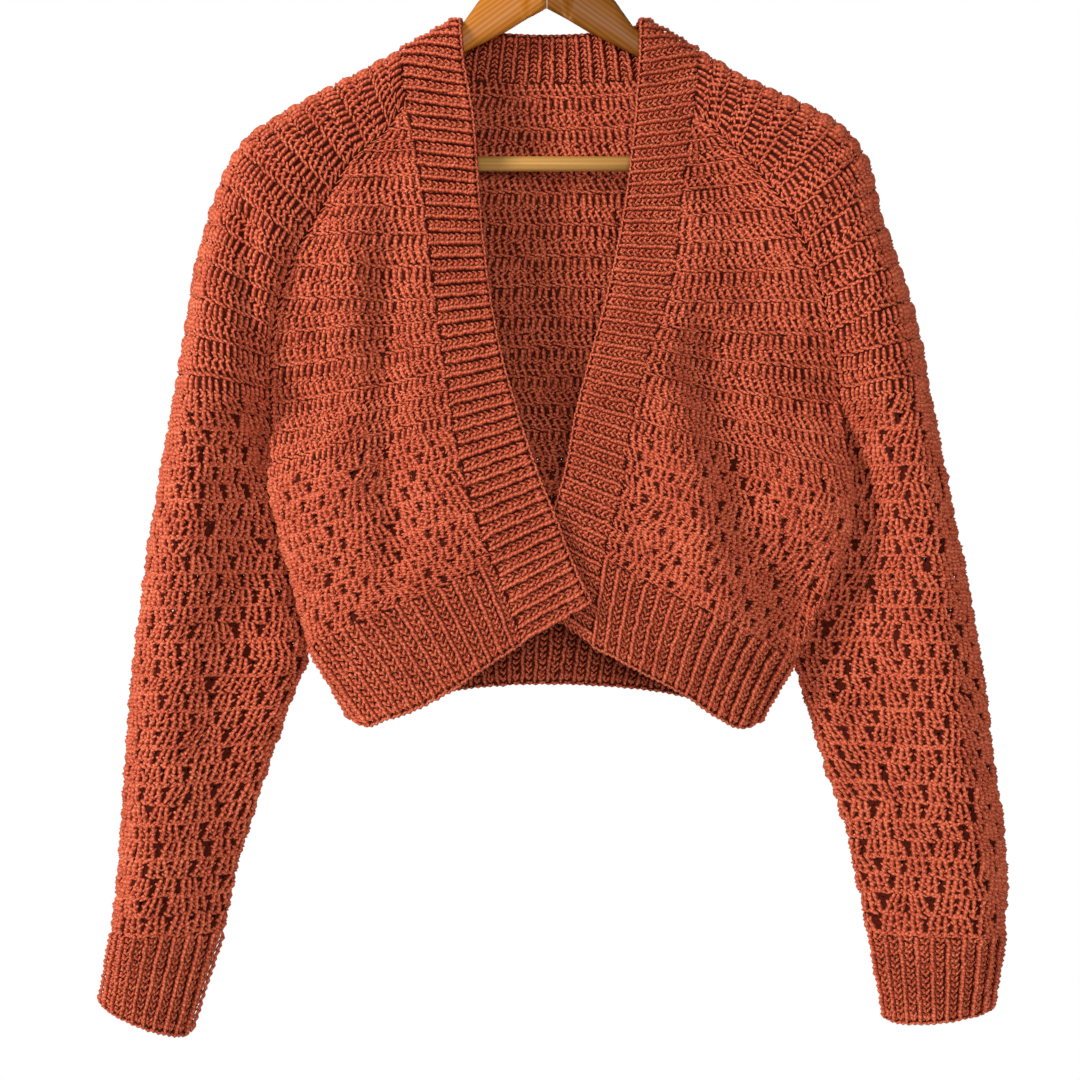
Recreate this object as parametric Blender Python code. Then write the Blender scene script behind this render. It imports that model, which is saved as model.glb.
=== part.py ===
import math

import bmesh
import bpy
import numpy as np

# Crochet cardigan on a wooden hanger, in metres.
# The tables are in millimetres: x to the viewer's right, y away from the viewer, z up,
# and zero is the top of the hook's inside. Sides are named as the wearer has them.

MM = 0.001
WALL = 3.2              # thickness of the crochet
RIB_RISE = 1.4          # height of a rib over the plain wall
SEAM_GAP = 0.3          # room between two pieces at a seam
UNDERARM_ROOM = 1.2     # how far each corner stops short of the underarm point
UNDERARM_ROW = 20       # rows are counted from the neck down
LAST_BODY_ROW = 36
LAST_SLEEVE_ROW = 46
LOWER_SLEEVE_ROWS = 22  # steps of the net below the underarm
SIDE_TURN = (19, 26)    # rows in which the body's sides begin to turn round
SIDE_POWER = 0.8        # how square that turn is
SAG_ROWS = (10, 22)     # rows in which the fronts begin to sag towards the side
SAG_POWER = 1.6
FRONT_BULGE = 4         # how far each front stands out between its edges
NECK_MATCH_ROWS = 3     # rows over which the back takes the band's line
CAP_MATCH_ROWS = 2.5    # rows over which a sleeve takes the band's line
CAP_ROWS = (2, 18)      # rows in which a sleeve closes from a cap to a flat tube
CUFF_DIP = 4            # how much lower a cuff hangs in its middle

FRONT_COLUMNS = 9
BACK_COLUMNS = 20
SLEEVE_COLUMNS = 12
BAND_SPANS = 2
HEM_SPANS = 2
CUFF_SPANS = 2

# Ribs of the band beside each neighbour: hem, front, sleeve top, back neck and so on round
BAND_RIBS = (6, 37, 6, 19, 6, 37, 6)
HEM_RIBS = (15, 37, 15)
CUFF_RIBS = 20

# The band's stations at the middle of the back neck and at its last corner, the shoulder's
# station, and how many stations a sleeve's top reaches to the front and to the back of it
BACK_STATION = 14
LAST_STATION = 29
SHOULDER_STATION = 11
CAP_REACH_FRONT = 4.3
CAP_REACH_BACK = 2.3

# The band, one row per station from the right front's corner over the neck to the left corner:
# free edge x, y, z, then sewn edge x, y, z
BAND_STATIONS = np.array([
    (32, -52, -534, -17, -50, -562),
    (19, -53, -507, -30, -52, -526),
    (8, -52, -478, -43, -53, -493),
    (-7, -49, -440, -55, -52, -457),
    (-21, -44, -397, -65, -48, -415),
    (-34, -38, -350, -73, -43, -363),
    (-43, -31, -296, -81, -37, -306),
    (-49, -26, -238, -88, -30, -246),
    (-53, -22, -186, -96, -24, -200),
    (-60, -18, -145, -103, -19, -167),
    (-63, -14, -118, -106, -14, -144),
    (-64, 0, -107.5, -107, 1, -131.5),
    (-59, 13, -112, -100, 14, -141),
    (-35, 20, -115, -57, 20, -150),
    (0, 24, -116, 0, 22, -152),
    (34, 20, -115, 57, 20, -150),
    (63, 13, -112, 102, 14, -141),
    (69, 0, -107.5, 111, 1, -131.5),
    (68, -14, -119, 110, -14, -145),
    (66, -18, -156, 107, -19, -173),
    (62, -22, -201, 101, -25, -210),
    (57, -26, -241, 96, -30, -249),
    (50, -30, -281, 92, -35, -290),
    (41, -33, -321, 82, -38, -331),
    (31, -37, -357, 70, -42, -364),
    (20, -40, -400, 59, -44, -411),
    (13, -42, -439, 53, -45, -455),
    (4, -43, -471, 42, -44, -493),
    (1, -43, -507, 36, -43, -526),
    (-2, -42, -540, 31, -41, -564),
], dtype=float)

# Each front's edges: row, station of the band beside it, then x, y, z of the raglan and the side;
# the first row is one point on the band's sewn edge
FRONT_EDGES = {
    "right": np.array([
        (0.0, 8.85, 0, 0, 0),
        (1.8, 8.2, -115, -21, -192),
        (4.7, 7.65, -141, -25, -216),
        (7.9, 6.93, -161, -30, -250),
        (10.9, 6.4, -179, -34, -282),
        (13.9, 5.78, -192, -32, -317),
        (17.2, 5.37, -200, -20, -356),
        (20.0, 4.89, -202, -4, -391),
        (22.7, 4.53, -201, -12, -421),
        (25.3, 4.04, -201, -15, -451),
        (27.8, 3.48, -195, -15, -478),
        (30.8, 2.69, -186, -14, -511),
        (33.5, 2.1, -179, -14, -540),
        (36.0, 1.62, -172, -14, -567),
    ]),
    "left": np.array([
        (0.0, 19.15, 0, 0, 0),
        (1.4, 19.67, 120, -21, -192),
        (4.3, 20.38, 144, -25, -216),
        (7.5, 21.12, 169, -30, -246),
        (10.4, 21.82, 185, -34, -278),
        (13.8, 22.68, 198, -32, -317),
        (17.0, 23.48, 208, -20, -356),
        (20.0, 24.17, 215, -4, -391),
        (22.1, 24.5, 218, -12, -417),
        (24.8, 25.03, 222, -15, -449),
        (27.1, 25.5, 220, -15, -478),
        (30.4, 26.2, 209, -14, -516),
        (33.3, 26.74, 194, -14, -547),
        (36.0, 27.26, 179, -14, -577),
    ]),
}

# The back: row, right raglan x, y, z, centre x, y, z, left raglan x, y, z, down to the underarm;
# the first row lies on the band's sewn edge
BACK_STATIONS = {"right": 12.15, "left": 15.85}
BACK_RAGLAN = {
    "right": np.array([(0.0, 0, 0, 0), (4.0, -125, 17, -192), (8.0, -148, 20, -243),
                       (12.0, -170, 21, -295), (16.0, -190, 14, -346), (20.0, -202, -4, -391)]),
    "left": np.array([(0.0, 0, 0, 0), (4.0, 129, 17, -192), (8.0, 155, 20, -243),
                      (12.0, 180, 21, -295), (16.0, 202, 14, -346), (20.0, 215, -4, -391)]),
}
BACK_CENTRE = np.array([(0, 0, 22, -152), (6, 2, 24, -222), (12, 3, 25, -292), (20, 4, 27, -380),
                        (28, 4, 30, -456), (36, 3, 32, -532)], dtype=float)

# The sleeves' outer line: row, x, y, z; the first row lies on the band over the shoulder
SLEEVE_OUTER = {
    "right": np.array([
        (0.0, -107, 1, -131.5), (1.5, -128, 0, -143), (3.6, -158, 0, -159), (5.9, -191, 0, -177),
        (7.7, -216, 0, -194), (9.7, -234, 0, -220), (11.5, -244, 0, -248), (13.9, -255, 0, -286),
        (16.7, -262, 0, -330), (20.0, -271, 0, -384), (25.0, -284, 0, -459), (28.0, -291, 0, -504),
        (33.0, -301, 0, -576), (38.0, -307, 0, -650), (41.0, -310, 0, -697), (46.0, -317, 0, -774)]),
    "left": np.array([
        (0.0, 111, 1, -131.5), (1.65, 134, 0, -146), (3.7, 164, 0, -161), (5.3, 188, 0, -172),
        (7.1, 214, 0, -187), (9.2, 234, 0, -215), (11.5, 243, 0, -252), (13.5, 254, 0, -283),
        (15.5, 264, 0, -314), (17.8, 273, 0, -350), (20.0, 279, 0, -384), (25.0, 293, 0, -459),
        (28.0, 303, 0, -504), (33.0, 316, 0, -576), (38.0, 326, 0, -650), (42.0, 334, 0, -712),
        (46.0, 334, 0, -775)]),
}

# The sleeves' inner line below the underarm, which hangs behind the body's side: row, x, y, z
SLEEVE_INNER = {
    "right": np.array([
        (20.0, -202, -4, -391), (21.0, -200, 8, -402), (22.0, -197, 17, -414),
        (23.5, -193, 24, -437), (25.0, -189, 28, -459), (28.0, -184, 29, -504),
        (31.0, -179, 25, -545), (33.0, -177, 17, -576), (35.0, -187, 9, -603), (38.0, -202, 2, -648),
        (41.0, -218, 0, -697), (44.0, -230, 0, -742), (46.0, -237, 0, -775)]),
    "left": np.array([
        (20.0, 215, -4, -391), (21.0, 214, 8, -402), (22.0, 213, 17, -414),
        (23.5, 211, 24, -437), (25.0, 208, 28, -459), (28.0, 200, 29, -504),
        (31.0, 188, 25, -545), (33.0, 183, 17, -576), (35.0, 189, 9, -603), (38.0, 202, 2, -648),
        (41.0, 218, 0, -697), (44.0, 228, 0, -742), (46.0, 234, 0, -776)]),
}

# How far the sleeves stand out to the front and the back of that line: row, front, back
SLEEVE_FULLNESS = np.array([(0, 0, 0), (3, 4, 4), (6, 9, 8), (9, 18, 14), (12, 24, 20), (16, 31, 30),
                            (20, 35, 38), (24, 34, 36), (28, 31, 30), (33, 24, 22), (38, 22, 21),
                            (46, 19, 19)], dtype=float)

# Cuff opening: x, z of the outer and the inner point, half depth
CUFF_OPENING = {"right": (-326, -826, -261, -849, 17), "left": (326, -829, 247, -838, 18)}

# Lower edge of the hem rib: place (0 right band, 1 right side, 2 left side, 3 left band), x, y, z
HEM_EDGE = np.array([
    (0.0, -17, -50, -562), (0.2, -38, -49, -575), (0.4, -65, -46, -594), (0.6, -92, -40, -609),
    (0.8, -116, -31, -618), (0.93, -133, -20, -623), (1.0, -143, -7, -618), (1.05, -140, 5, -614),
    (1.18, -112, 19, -607), (1.32, -72, 26, -600), (1.5, 2, 30, -595), (1.68, 78, 26, -600),
    (1.82, 120, 19, -608), (1.95, 152, 5, -615), (2.0, 155, -7, -619), (2.1, 143, -20, -625),
    (2.25, 124, -29, -617), (2.45, 99, -36, -600), (2.65, 74, -40, -587), (2.85, 50, -42, -574),
    (3.0, 31, -41, -564)])

# The largest folds: piece, start x, z, end x, z, half width, rise outwards
FOLDS = (
    ("front_right", -135, -270, -142, -450, 24, 7),
    ("front_right", -98, -320, -84, -500, 22, -8),
    ("front_right", -120, -215, -100, -260, 20, -4),
    ("front_left", 132, -226, 150, -330, 26, -8),
    ("front_left", 84, -312, 200, -432, 20, 7),
    ("front_left", 92, -420, 110, -520, 30, -6),
    ("front_left", 165, -470, 150, -550, 22, 5),
    ("back", -80, -300, -95, -520, 26, 6),
    ("back", 70, -260, 96, -520, 28, 6),
    ("back", 0, -330, 6, -530, 30, -6),
    ("sleeve_right", -236, -260, -262, -500, 15, 5),
    ("sleeve_right", -214, -600, -250, -740, 16, -5),
    ("sleeve_left", 236, -260, 272, -500, 15, 5),
    ("sleeve_left", 214, -600, 256, -740, 16, -5),
)


# A smooth line through the rows of a table; the first column says where each row stands
def smooth(table, at):
    keys = table[:, 0]
    values = table[:, 1:]
    at = np.clip(np.asarray(at, dtype=float), keys[0], keys[-1])
    steps = np.diff(keys)
    slopes = np.diff(values, axis=0) / steps[:, None]
    tangents = np.empty_like(values)
    tangents[0] = slopes[0]
    tangents[-1] = slopes[-1]
    before = steps[:-1, None]
    after = steps[1:, None]
    tangents[1:-1] = (slopes[:-1] * after + slopes[1:] * before) / (before + after)
    span = np.clip(np.searchsorted(keys, at, side="right") - 1, 0, len(keys) - 2)
    width = steps[span][..., None]
    part = ((at - keys[span]) / steps[span])[..., None]
    return ((2 * part ** 3 - 3 * part ** 2 + 1) * values[span]
            + (part ** 3 - 2 * part ** 2 + part) * width * tangents[span]
            + (3 * part ** 2 - 2 * part ** 3) * values[span + 1]
            + (part ** 3 - part ** 2) * width * tangents[span + 1])


def ease(low, high, value):
    part = np.clip((np.asarray(value, dtype=float) - low) / (high - low), 0, 1)
    return part * part * (3 - 2 * part)


def mix(first, second, share):
    return first + (second - first) * np.asarray(share)[..., None]


STATION_KEYS = np.arange(len(BAND_STATIONS), dtype=float)[:, None]


def band_free_edge(station):
    return smooth(np.hstack([STATION_KEYS, BAND_STATIONS[:, :3]]), station)


def band_sewn_edge(station):
    return smooth(np.hstack([STATION_KEYS, BAND_STATIONS[:, 3:]]), station)


# The line where a front meets the sleeve and then the back
def outer_edge(side, row):
    table = FRONT_EDGES[side][:, [0, 2, 3, 4]].copy()
    table[0, 1:] = band_sewn_edge(FRONT_EDGES[side][0, 1])
    return smooth(table, row)


def back_edge(side, row):
    table = BACK_RAGLAN[side].copy()
    table[0, 1:] = band_sewn_edge(BACK_STATIONS[side])
    row = np.asarray(row, dtype=float)
    above = smooth(table, np.minimum(row, UNDERARM_ROW))
    return np.where((row > UNDERARM_ROW)[..., None], outer_edge(side, row), above)


# Soft ridges and troughs along straight lines; outwards is away from the viewer on the back
def add_folds(piece, points, edge_fade, direction=-1.0):
    for name, x1, z1, x2, z2, width, rise in FOLDS:
        if name != piece:
            continue
        dx = x2 - x1
        dz = z2 - z1
        length2 = dx * dx + dz * dz
        along = ((points[..., 0] - x1) * dx + (points[..., 2] - z1) * dz) / length2
        near = np.clip(along, 0, 1)
        away = np.hypot(points[..., 0] - x1 - near * dx, points[..., 2] - z1 - near * dz)
        points[..., 1] += direction * rise * np.exp(-(away / width) ** 2) * edge_fade
    return points


# A front: row from the neck down, across from 0 at the band to 1 at the raglan and side
def front_point(side, row, across):
    row = np.asarray(row, dtype=float)
    across = np.asarray(across, dtype=float)
    station = smooth(FRONT_EDGES[side][:, :2], row)[..., 0]
    sewn = band_sewn_edge(station)
    outer = outer_edge(side, row)
    turned = ease(*SIDE_TURN, row)
    quarter = across * math.pi / 2
    sideways = across + (np.sin(quarter) - across) * turned
    backwards = across + (1 - np.cos(quarter) ** SIDE_POWER - across) * turned
    sagging = 1 - (1 - across) ** SAG_POWER
    downwards = across + (sagging - across) * ease(*SAG_ROWS, row)
    points = np.stack([
        sewn[..., 0] + (outer[..., 0] - sewn[..., 0]) * sideways,
        sewn[..., 1] + (outer[..., 1] - sewn[..., 1]) * backwards
        - FRONT_BULGE * np.sin(math.pi * across) * ease(2, 12, row),
        sewn[..., 2] + (outer[..., 2] - sewn[..., 2]) * downwards], axis=-1)
    fade = ease(0, 0.25, across) * ease(0, 0.25, 1 - across)
    return add_folds("front_" + side, points, fade)


def back_plain(row, across):
    row = np.asarray(row, dtype=float)
    across = np.asarray(across, dtype=float)
    centre = smooth(BACK_CENTRE, row)
    right = back_edge("right", row)
    left = back_edge("left", row)
    edge = np.where((across < 0)[..., None], right, left)
    out = np.abs(across)
    turned = ease(*SIDE_TURN, row)
    quarter = out * math.pi / 2
    sideways = out + (np.sin(quarter) - out) * turned
    forwards = out ** 2 + (1 - np.cos(quarter) ** SIDE_POWER - out ** 2) * turned
    points = np.stack([
        centre[..., 0] + (edge[..., 0] - centre[..., 0]) * sideways,
        centre[..., 1] + (edge[..., 1] - centre[..., 1]) * forwards,
        centre[..., 2] + (edge[..., 2] - centre[..., 2]) * out ** 2], axis=-1)
    fade = ease(0, 0.2, 1 - out) * ease(2, 10, row)
    return add_folds("back", points, fade, 1.0)


# The back: across from -1 at the right side to 1 at the left side; its top edge lies on the band
def back_point(row, across):
    neck = band_sewn_edge(BACK_STATION + across * (BACK_STATIONS["left"] - BACK_STATION))
    first = back_plain(np.zeros_like(row), across)
    return back_plain(row, across) + (neck - first) * (1 - ease(0, NECK_MATCH_ROWS, row))[..., None]


# A sleeve: around from 0 at the front raglan over 0.5 at the outer line to 1 at the back raglan;
# below the underarm both raglan edges are the inner line
def sleeve_plain(side, row, around):
    row = np.asarray(row, dtype=float)
    around = np.asarray(around, dtype=float)
    front = around <= 0.5
    part = np.where(front, around * 2, (1 - around) * 2)
    inner = smooth(SLEEVE_INNER[side], np.maximum(row, UNDERARM_ROW))
    raglan = np.where(front[..., None], outer_edge(side, row), back_edge(side, row))
    start = np.where((row > UNDERARM_ROW)[..., None], inner, raglan)
    outer = smooth(SLEEVE_OUTER[side], row)
    closed = ease(*CAP_ROWS, row)
    half = (1 - np.cos(math.pi * part)) / 2
    quarter = part * math.pi / 2
    share = np.sin(quarter) + (half - np.sin(quarter)) * closed
    share_y = (1 - np.cos(quarter)) + (half - 1 + np.cos(quarter)) * closed
    fullness = smooth(SLEEVE_FULLNESS, row)
    stand = np.where(front, -fullness[..., 0], fullness[..., 1]) * np.sin(math.pi * part)
    points = np.stack([
        start[..., 0] + (outer[..., 0] - start[..., 0]) * share,
        start[..., 1] + (outer[..., 1] - start[..., 1]) * share_y + stand,
        start[..., 2] + (outer[..., 2] - start[..., 2]) * share], axis=-1)
    fade = np.where(front, 1.0, 0.0) * np.sin(math.pi * part) * ease(4, 8, row)
    return add_folds("sleeve_" + side, points, fade)


# The band's station beside a place on the sleeve's top edge
def sleeve_station(side, around):
    around = np.asarray(around, dtype=float)
    reach = np.where(around <= 0.5, CAP_REACH_FRONT, CAP_REACH_BACK)
    station = SHOULDER_STATION - (0.5 - around) * reach
    return station if side == "right" else 2 * BACK_STATION - station


def sleeve_point(side, row, around):
    top = band_sewn_edge(sleeve_station(side, around))
    first = sleeve_plain(side, np.zeros_like(row), around)
    return sleeve_plain(side, row, around) + (top - first) * (1 - ease(0, CAP_MATCH_ROWS, row))[..., None]


def unit(vectors):
    length = np.linalg.norm(vectors, axis=-1, keepdims=True)
    return vectors / np.maximum(length, 1e-9)


# A point's place in hundredths of a millimetre; the shift keeps round values off the rounding's edge
def place_key(point):
    return tuple(np.round(np.asarray(point) * 100 + 0.371).astype(int))


# One sheet of cloth: its points joined where they meet, and its faces, seen from outside
def sheet(points, turned_over=False):
    rows, columns, _ = points.shape
    index = {}
    places = []
    number = np.zeros((rows, columns), dtype=int)
    for i in range(rows):
        for j in range(columns):
            key = place_key(points[i, j])
            if key not in index:
                index[key] = len(places)
                places.append(points[i, j])
            number[i, j] = index[key]
    faces = []
    for i in range(rows - 1):
        for j in range(columns - 1):
            corners = [number[i, j], number[i + 1, j], number[i + 1, j + 1], number[i, j + 1]]
            if not turned_over:
                corners.reverse()
            face = [c for k, c in enumerate(corners) if c != corners[k - 1]]
            if len(set(face)) >= 3:
                faces.append(face)
    return {"places": np.array(places), "faces": faces, "number": number}


def face_normals(piece):
    normals = []
    for face in piece["faces"]:
        a = piece["places"][face[0]]
        normal = np.zeros(3)
        for k in range(1, len(face) - 1):
            normal += np.cross(piece["places"][face[k]] - a, piece["places"][face[k + 1]] - a)
        normals.append(normal)
    return np.array(normals)


# Outward directions, shared by all pieces that meet at a point
def shared_directions(pieces, fixed):
    total = {}
    for piece in pieces:
        for face, normal in zip(piece["faces"], face_normals(piece)):
            for corner in face:
                key = place_key(piece["places"][corner])
                total[key] = total.get(key, np.zeros(3)) + normal
    total.update(fixed)
    for piece in pieces:
        keys = [place_key(place) for place in piece["places"]]
        piece["directions"] = unit(np.array([total[key] for key in keys]))


# Along an edge the pieces are drawn back by half the room at the seam
def drawn_back(piece):
    normals = unit(face_normals(piece))
    sides = {}
    for number, face in enumerate(piece["faces"]):
        for k, corner in enumerate(face):
            sides[(corner, face[(k + 1) % len(face)])] = number
    inward = {}
    rims = []
    for (a, b), number in sides.items():
        if (b, a) in sides:
            continue
        rims.append((a, b))
        direction = unit(np.cross(normals[number], piece["places"][b] - piece["places"][a]))
        inward.setdefault(a, []).append(direction)
        inward.setdefault(b, []).append(direction)
    places = piece["places"].copy()
    for corner, pair in inward.items():
        total = np.sum(pair, axis=0)
        share = 1 + np.dot(pair[0], pair[1]) if len(pair) == 2 else 2
        places[corner] += SEAM_GAP / 2 * total / max(share, 0.15)
        if place_key(piece["places"][corner]) in underarms:
            places[corner] += UNDERARM_ROOM * unit(total)
    return places, rims


# A wall of crochet: outer points, inner points and the rims between them
def wall(name, piece, colour, outer_rise=None, inner_rise=None):
    places, rims = drawn_back(piece)
    count = len(places)
    outer_rise = np.zeros(count) if outer_rise is None else outer_rise
    inner_rise = np.zeros(count) if inner_rise is None else inner_rise
    outer = places + piece["directions"] * outer_rise[:, None]
    inner = places - piece["directions"] * (WALL + inner_rise)[:, None]
    faces = [list(face) for face in piece["faces"]]
    faces += [[c + count for c in reversed(face)] for face in piece["faces"]]
    for a, b in rims:
        if outer[a, 2] > outer[b, 2]:
            faces += [[b, a, b + count], [a, a + count, b + count]]
        else:
            faces += [[b, a, a + count], [b, a + count, b + count]]
    add_object(name, np.vstack([outer, inner]), faces, colour)


def plain_material(name, colour):
    material = bpy.data.materials.new(name)
    material.use_nodes = True
    shader = material.node_tree.nodes["Principled BSDF"]
    shader.inputs["Base Color"].default_value = (*colour, 1)
    shader.inputs["Roughness"].default_value = 0.3 if colour == STEEL else 0.85
    shader.inputs["Metallic"].default_value = 1.0 if colour == STEEL else 0.0
    return material


def add_object(name, places, faces, colour):
    mesh = bpy.data.meshes.new(name)
    shape = bmesh.new()
    corners = [shape.verts.new(tuple(float(v) * MM for v in place)) for place in places]
    for face in faces:
        shape.faces.new([corners[c] for c in face])
    bmesh.ops.recalc_face_normals(shape, faces=shape.faces)
    bmesh.ops.triangulate(shape, faces=[face for face in shape.faces if len(face.verts) == 4])
    shape.to_mesh(mesh)
    shape.free()
    mesh.materials.append(plain_material(name, colour))
    result = bpy.data.objects.new(name, mesh)
    garment.objects.link(result)
    return result


# Places and outward directions read along an edge of a neighbour, straight between its points
def along(stations, piece, numbers, at):
    order = np.argsort(stations)
    stations = np.asarray(stations)[order]
    numbers = np.asarray(numbers)[order]
    places = [np.interp(at, stations, piece["places"][numbers, k]) for k in range(3)]
    directions = [np.interp(at, stations, piece["directions"][numbers, k]) for k in range(3)]
    return np.stack(places, axis=-1), unit(np.stack(directions, axis=-1))


def table_grid(rows, columns):
    return np.meshgrid(rows, columns, indexing="ij")


for old in list(bpy.data.objects):
    bpy.data.objects.remove(old)
garment = bpy.data.collections.new("crochet_cardigan")
bpy.context.scene.collection.children.link(garment)
cutters = bpy.data.collections.new("cutters")
bpy.context.scene.collection.children.link(cutters)

RUST = (0.42, 0.10, 0.05)
HONEY = (0.45, 0.24, 0.09)
STEEL = (0.55, 0.55, 0.56)

# Fronts, back and sleeves
body_rows = np.arange(LAST_BODY_ROW + 1, dtype=float)
lower_rows = np.linspace(UNDERARM_ROW + 1.1, LAST_SLEEVE_ROW, LOWER_SLEEVE_ROWS)
sleeve_rows = np.concatenate([np.arange(UNDERARM_ROW + 1), lower_rows])
front_columns = np.linspace(0, 1, FRONT_COLUMNS + 1)
back_columns = np.linspace(-1, 1, BACK_COLUMNS + 1)
sleeve_columns = np.linspace(0, 1, SLEEVE_COLUMNS + 1)
fronts = {}
sleeves = {}
for side in ("right", "left"):
    rows, columns = table_grid(body_rows, front_columns)
    fronts[side] = sheet(front_point(side, rows, columns), side == "left")
    rows, columns = table_grid(sleeve_rows, sleeve_columns)
    sleeves[side] = sheet(sleeve_point(side, rows, columns), side == "left")
rows, columns = table_grid(body_rows, back_columns)
back = sheet(back_point(rows, columns))
underarms = {place_key(outer_edge(side, float(UNDERARM_ROW))): np.array([0.0, 0.0, -1.0])
             for side in ("right", "left")}
shared_directions([back, *fronts.values(), *sleeves.values()], underarms)
wall("back", back, RUST)
for side in ("right", "left"):
    wall("front_" + side, fronts[side], RUST)
    wall("sleeve_" + side, sleeves[side], RUST)

# Hem rib: right front, back, left front
hem_top = np.vstack([
    np.array([along(front_columns, fronts["right"], fronts["right"]["number"][-1], c)
              for c in np.linspace(0, 1, 2 * HEM_RIBS[0] + 1)]),
    np.array([along(back_columns, back, back["number"][-1], c)
              for c in np.linspace(-1, 1, 2 * HEM_RIBS[1] + 1)[1:]]),
    np.array([along(front_columns, fronts["left"], fronts["left"]["number"][-1], c)
              for c in np.linspace(1, 0, 2 * HEM_RIBS[2] + 1)[1:]])])
hem_places = np.concatenate([np.linspace(0, 1, 2 * HEM_RIBS[0] + 1),
                             np.linspace(1, 2, 2 * HEM_RIBS[1] + 1)[1:],
                             np.linspace(2, 3, 2 * HEM_RIBS[2] + 1)[1:]])
hem_bottom = smooth(HEM_EDGE, hem_places)
down = np.linspace(0, 1, HEM_SPANS + 1)
hem_grid = np.array([mix(hem_top[:, 0], hem_bottom, np.full(len(hem_places), d)) for d in down])
right_end = band_sewn_edge(FRONT_EDGES["right"][-1, 1] * (1 - down))
left_end = band_sewn_edge(FRONT_EDGES["left"][-1, 1] + (LAST_STATION - FRONT_EDGES["left"][-1, 1]) * down)
hem_grid += (right_end - hem_grid[:, 0])[:, None] * (1 - ease(0, 0.3, hem_places))[None, :, None]
hem_grid += (left_end - hem_grid[:, -1])[:, None] * ease(2.7, 3, hem_places)[None, :, None]
hem = sheet(hem_grid)
shared_directions([hem], {})
hem["directions"][hem["number"][0]] = hem_top[:, 1]
crest = np.zeros(len(hem["places"]))
crest[hem["number"][:, ::2]] = RIB_RISE
wall("hem_rib", hem, RUST, crest, RIB_RISE - crest)

# Cuffs
for side in ("right", "left"):
    around = np.linspace(0, 1, 2 * CUFF_RIBS + 1)
    numbers = sleeves[side]["number"][-1]
    top, directions = along(sleeve_columns, sleeves[side], numbers, around)
    outer_x, outer_z, inner_x, inner_z, half_depth = CUFF_OPENING[side]
    part = np.where(around <= 0.5, around * 2, (1 - around) * 2)
    share = (1 - np.cos(math.pi * part)) / 2
    stand = np.where(around <= 0.5, -1, 1) * np.sin(math.pi * part)
    bottom = np.stack([inner_x + (outer_x - inner_x) * share, half_depth * stand,
                       inner_z + (outer_z - inner_z) * share - CUFF_DIP * np.sin(math.pi * part)], axis=-1)
    grid = np.array([mix(top, bottom, np.full(len(around), d))
                     for d in np.linspace(0, 1, CUFF_SPANS + 1)])
    cuff = sheet(grid, side == "left")
    shared_directions([cuff], {})
    cuff["directions"][cuff["number"][0]] = directions
    crest = np.zeros(len(cuff["places"]))
    crest[cuff["number"][:, ::2]] = RIB_RISE
    wall("cuff_" + side, cuff, RUST, crest, RIB_RISE - crest)

# Band: its sewn edge follows the neighbours' edges, one stretch after the other
front_stations = {side: smooth(FRONT_EDGES[side][:, :2], body_rows)[:, 0] for side in fronts}
stretches = [
    (FRONT_EDGES["right"][-1, 1] * (1 - down[::-1]), hem, hem["number"][::-1, 0]),
    (front_stations["right"][::-1], fronts["right"], fronts["right"]["number"][::-1, 0]),
    (sleeve_station("right", sleeve_columns), sleeves["right"], sleeves["right"]["number"][0]),
    (BACK_STATION + back_columns * (BACK_STATIONS["left"] - BACK_STATION), back, back["number"][0]),
    (sleeve_station("left", sleeve_columns[::-1]), sleeves["left"], sleeves["left"]["number"][0, ::-1]),
    (front_stations["left"], fronts["left"], fronts["left"]["number"][:, 0]),
    (FRONT_EDGES["left"][-1, 1] + (LAST_STATION - FRONT_EDGES["left"][-1, 1]) * down, hem,
     hem["number"][:, -1]),
]
band_at = []
band_sewn = []
band_out = []
for ribs, (stations, neighbour, numbers) in zip(BAND_RIBS, stretches):
    fine = np.linspace(stations[0], stations[-1], 200)
    middle = (band_sewn_edge(fine) + band_free_edge(fine)) / 2
    length = np.concatenate([[0], np.cumsum(np.linalg.norm(np.diff(middle, axis=0), axis=1))])
    at = np.interp(np.linspace(0, length[-1], 2 * ribs + 1), length, fine)
    if len(stations) == 2 * ribs + 1:
        at = np.asarray(stations)
    if band_at:
        at = at[1:]
    places, directions = along(stations, neighbour, numbers, at)
    band_at.extend(at)
    band_sewn.extend(places)
    band_out.extend(directions)
band_at = np.array(band_at)
band_free = band_free_edge(band_at)
band_grid = np.array([mix(np.array(band_sewn), band_free, np.full(len(band_at), share))
                      for share in np.linspace(0, 1, BAND_SPANS + 1)]).transpose(1, 0, 2)
band = sheet(band_grid)
shared_directions([band], {})
band["directions"][band["number"][:, 0]] = np.array(band_out)
crest = np.zeros(len(band["places"]))
crest[band["number"][::2]] = RIB_RISE
wall("band", band, RUST, crest, RIB_RISE - crest)

# Hanger arm: x, top, bottom and thickness of each section from the mitre to the tip
ARM_SECTIONS = (
    (0.15, -61, -101, 14), (15, -66, -109, 14), (30, -78, -118, 14), (50, -96, -128, 13.5),
    (63, -114.5, -134.5, 12), (80, -126.5, -143, 11.5), (106, -141, -156.5, 11.5), (135, -155.5, -172, 12),
    (158, -166, -184, 13), (183, -180, -206, 13.5), (195, -187, -225, 14), (205, -194, -227.5, 13.5),
    (213, -203, -221, 9))
BAR_HEIGHT = -214.5
BAR_WIDTH = 11
BAR_END = 204
BAR_SIDES = 20
SOCKET_ROOM = 0.6       # how much wider the arms' sockets are than the bar
SOCKET_CENTRE = 189.5   # middle of a socket, from the hanger's middle
SOCKET_LONG = 30
ARM_SIDES = 14
ARM_POWER = 0.8         # how square an arm's section is
WIRE = 4
WIRE_STEPS = 33
BORE_ROOM = 0.8         # how much wider the hook's bore is than its wire
BORE_HEIGHT = -69
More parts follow.
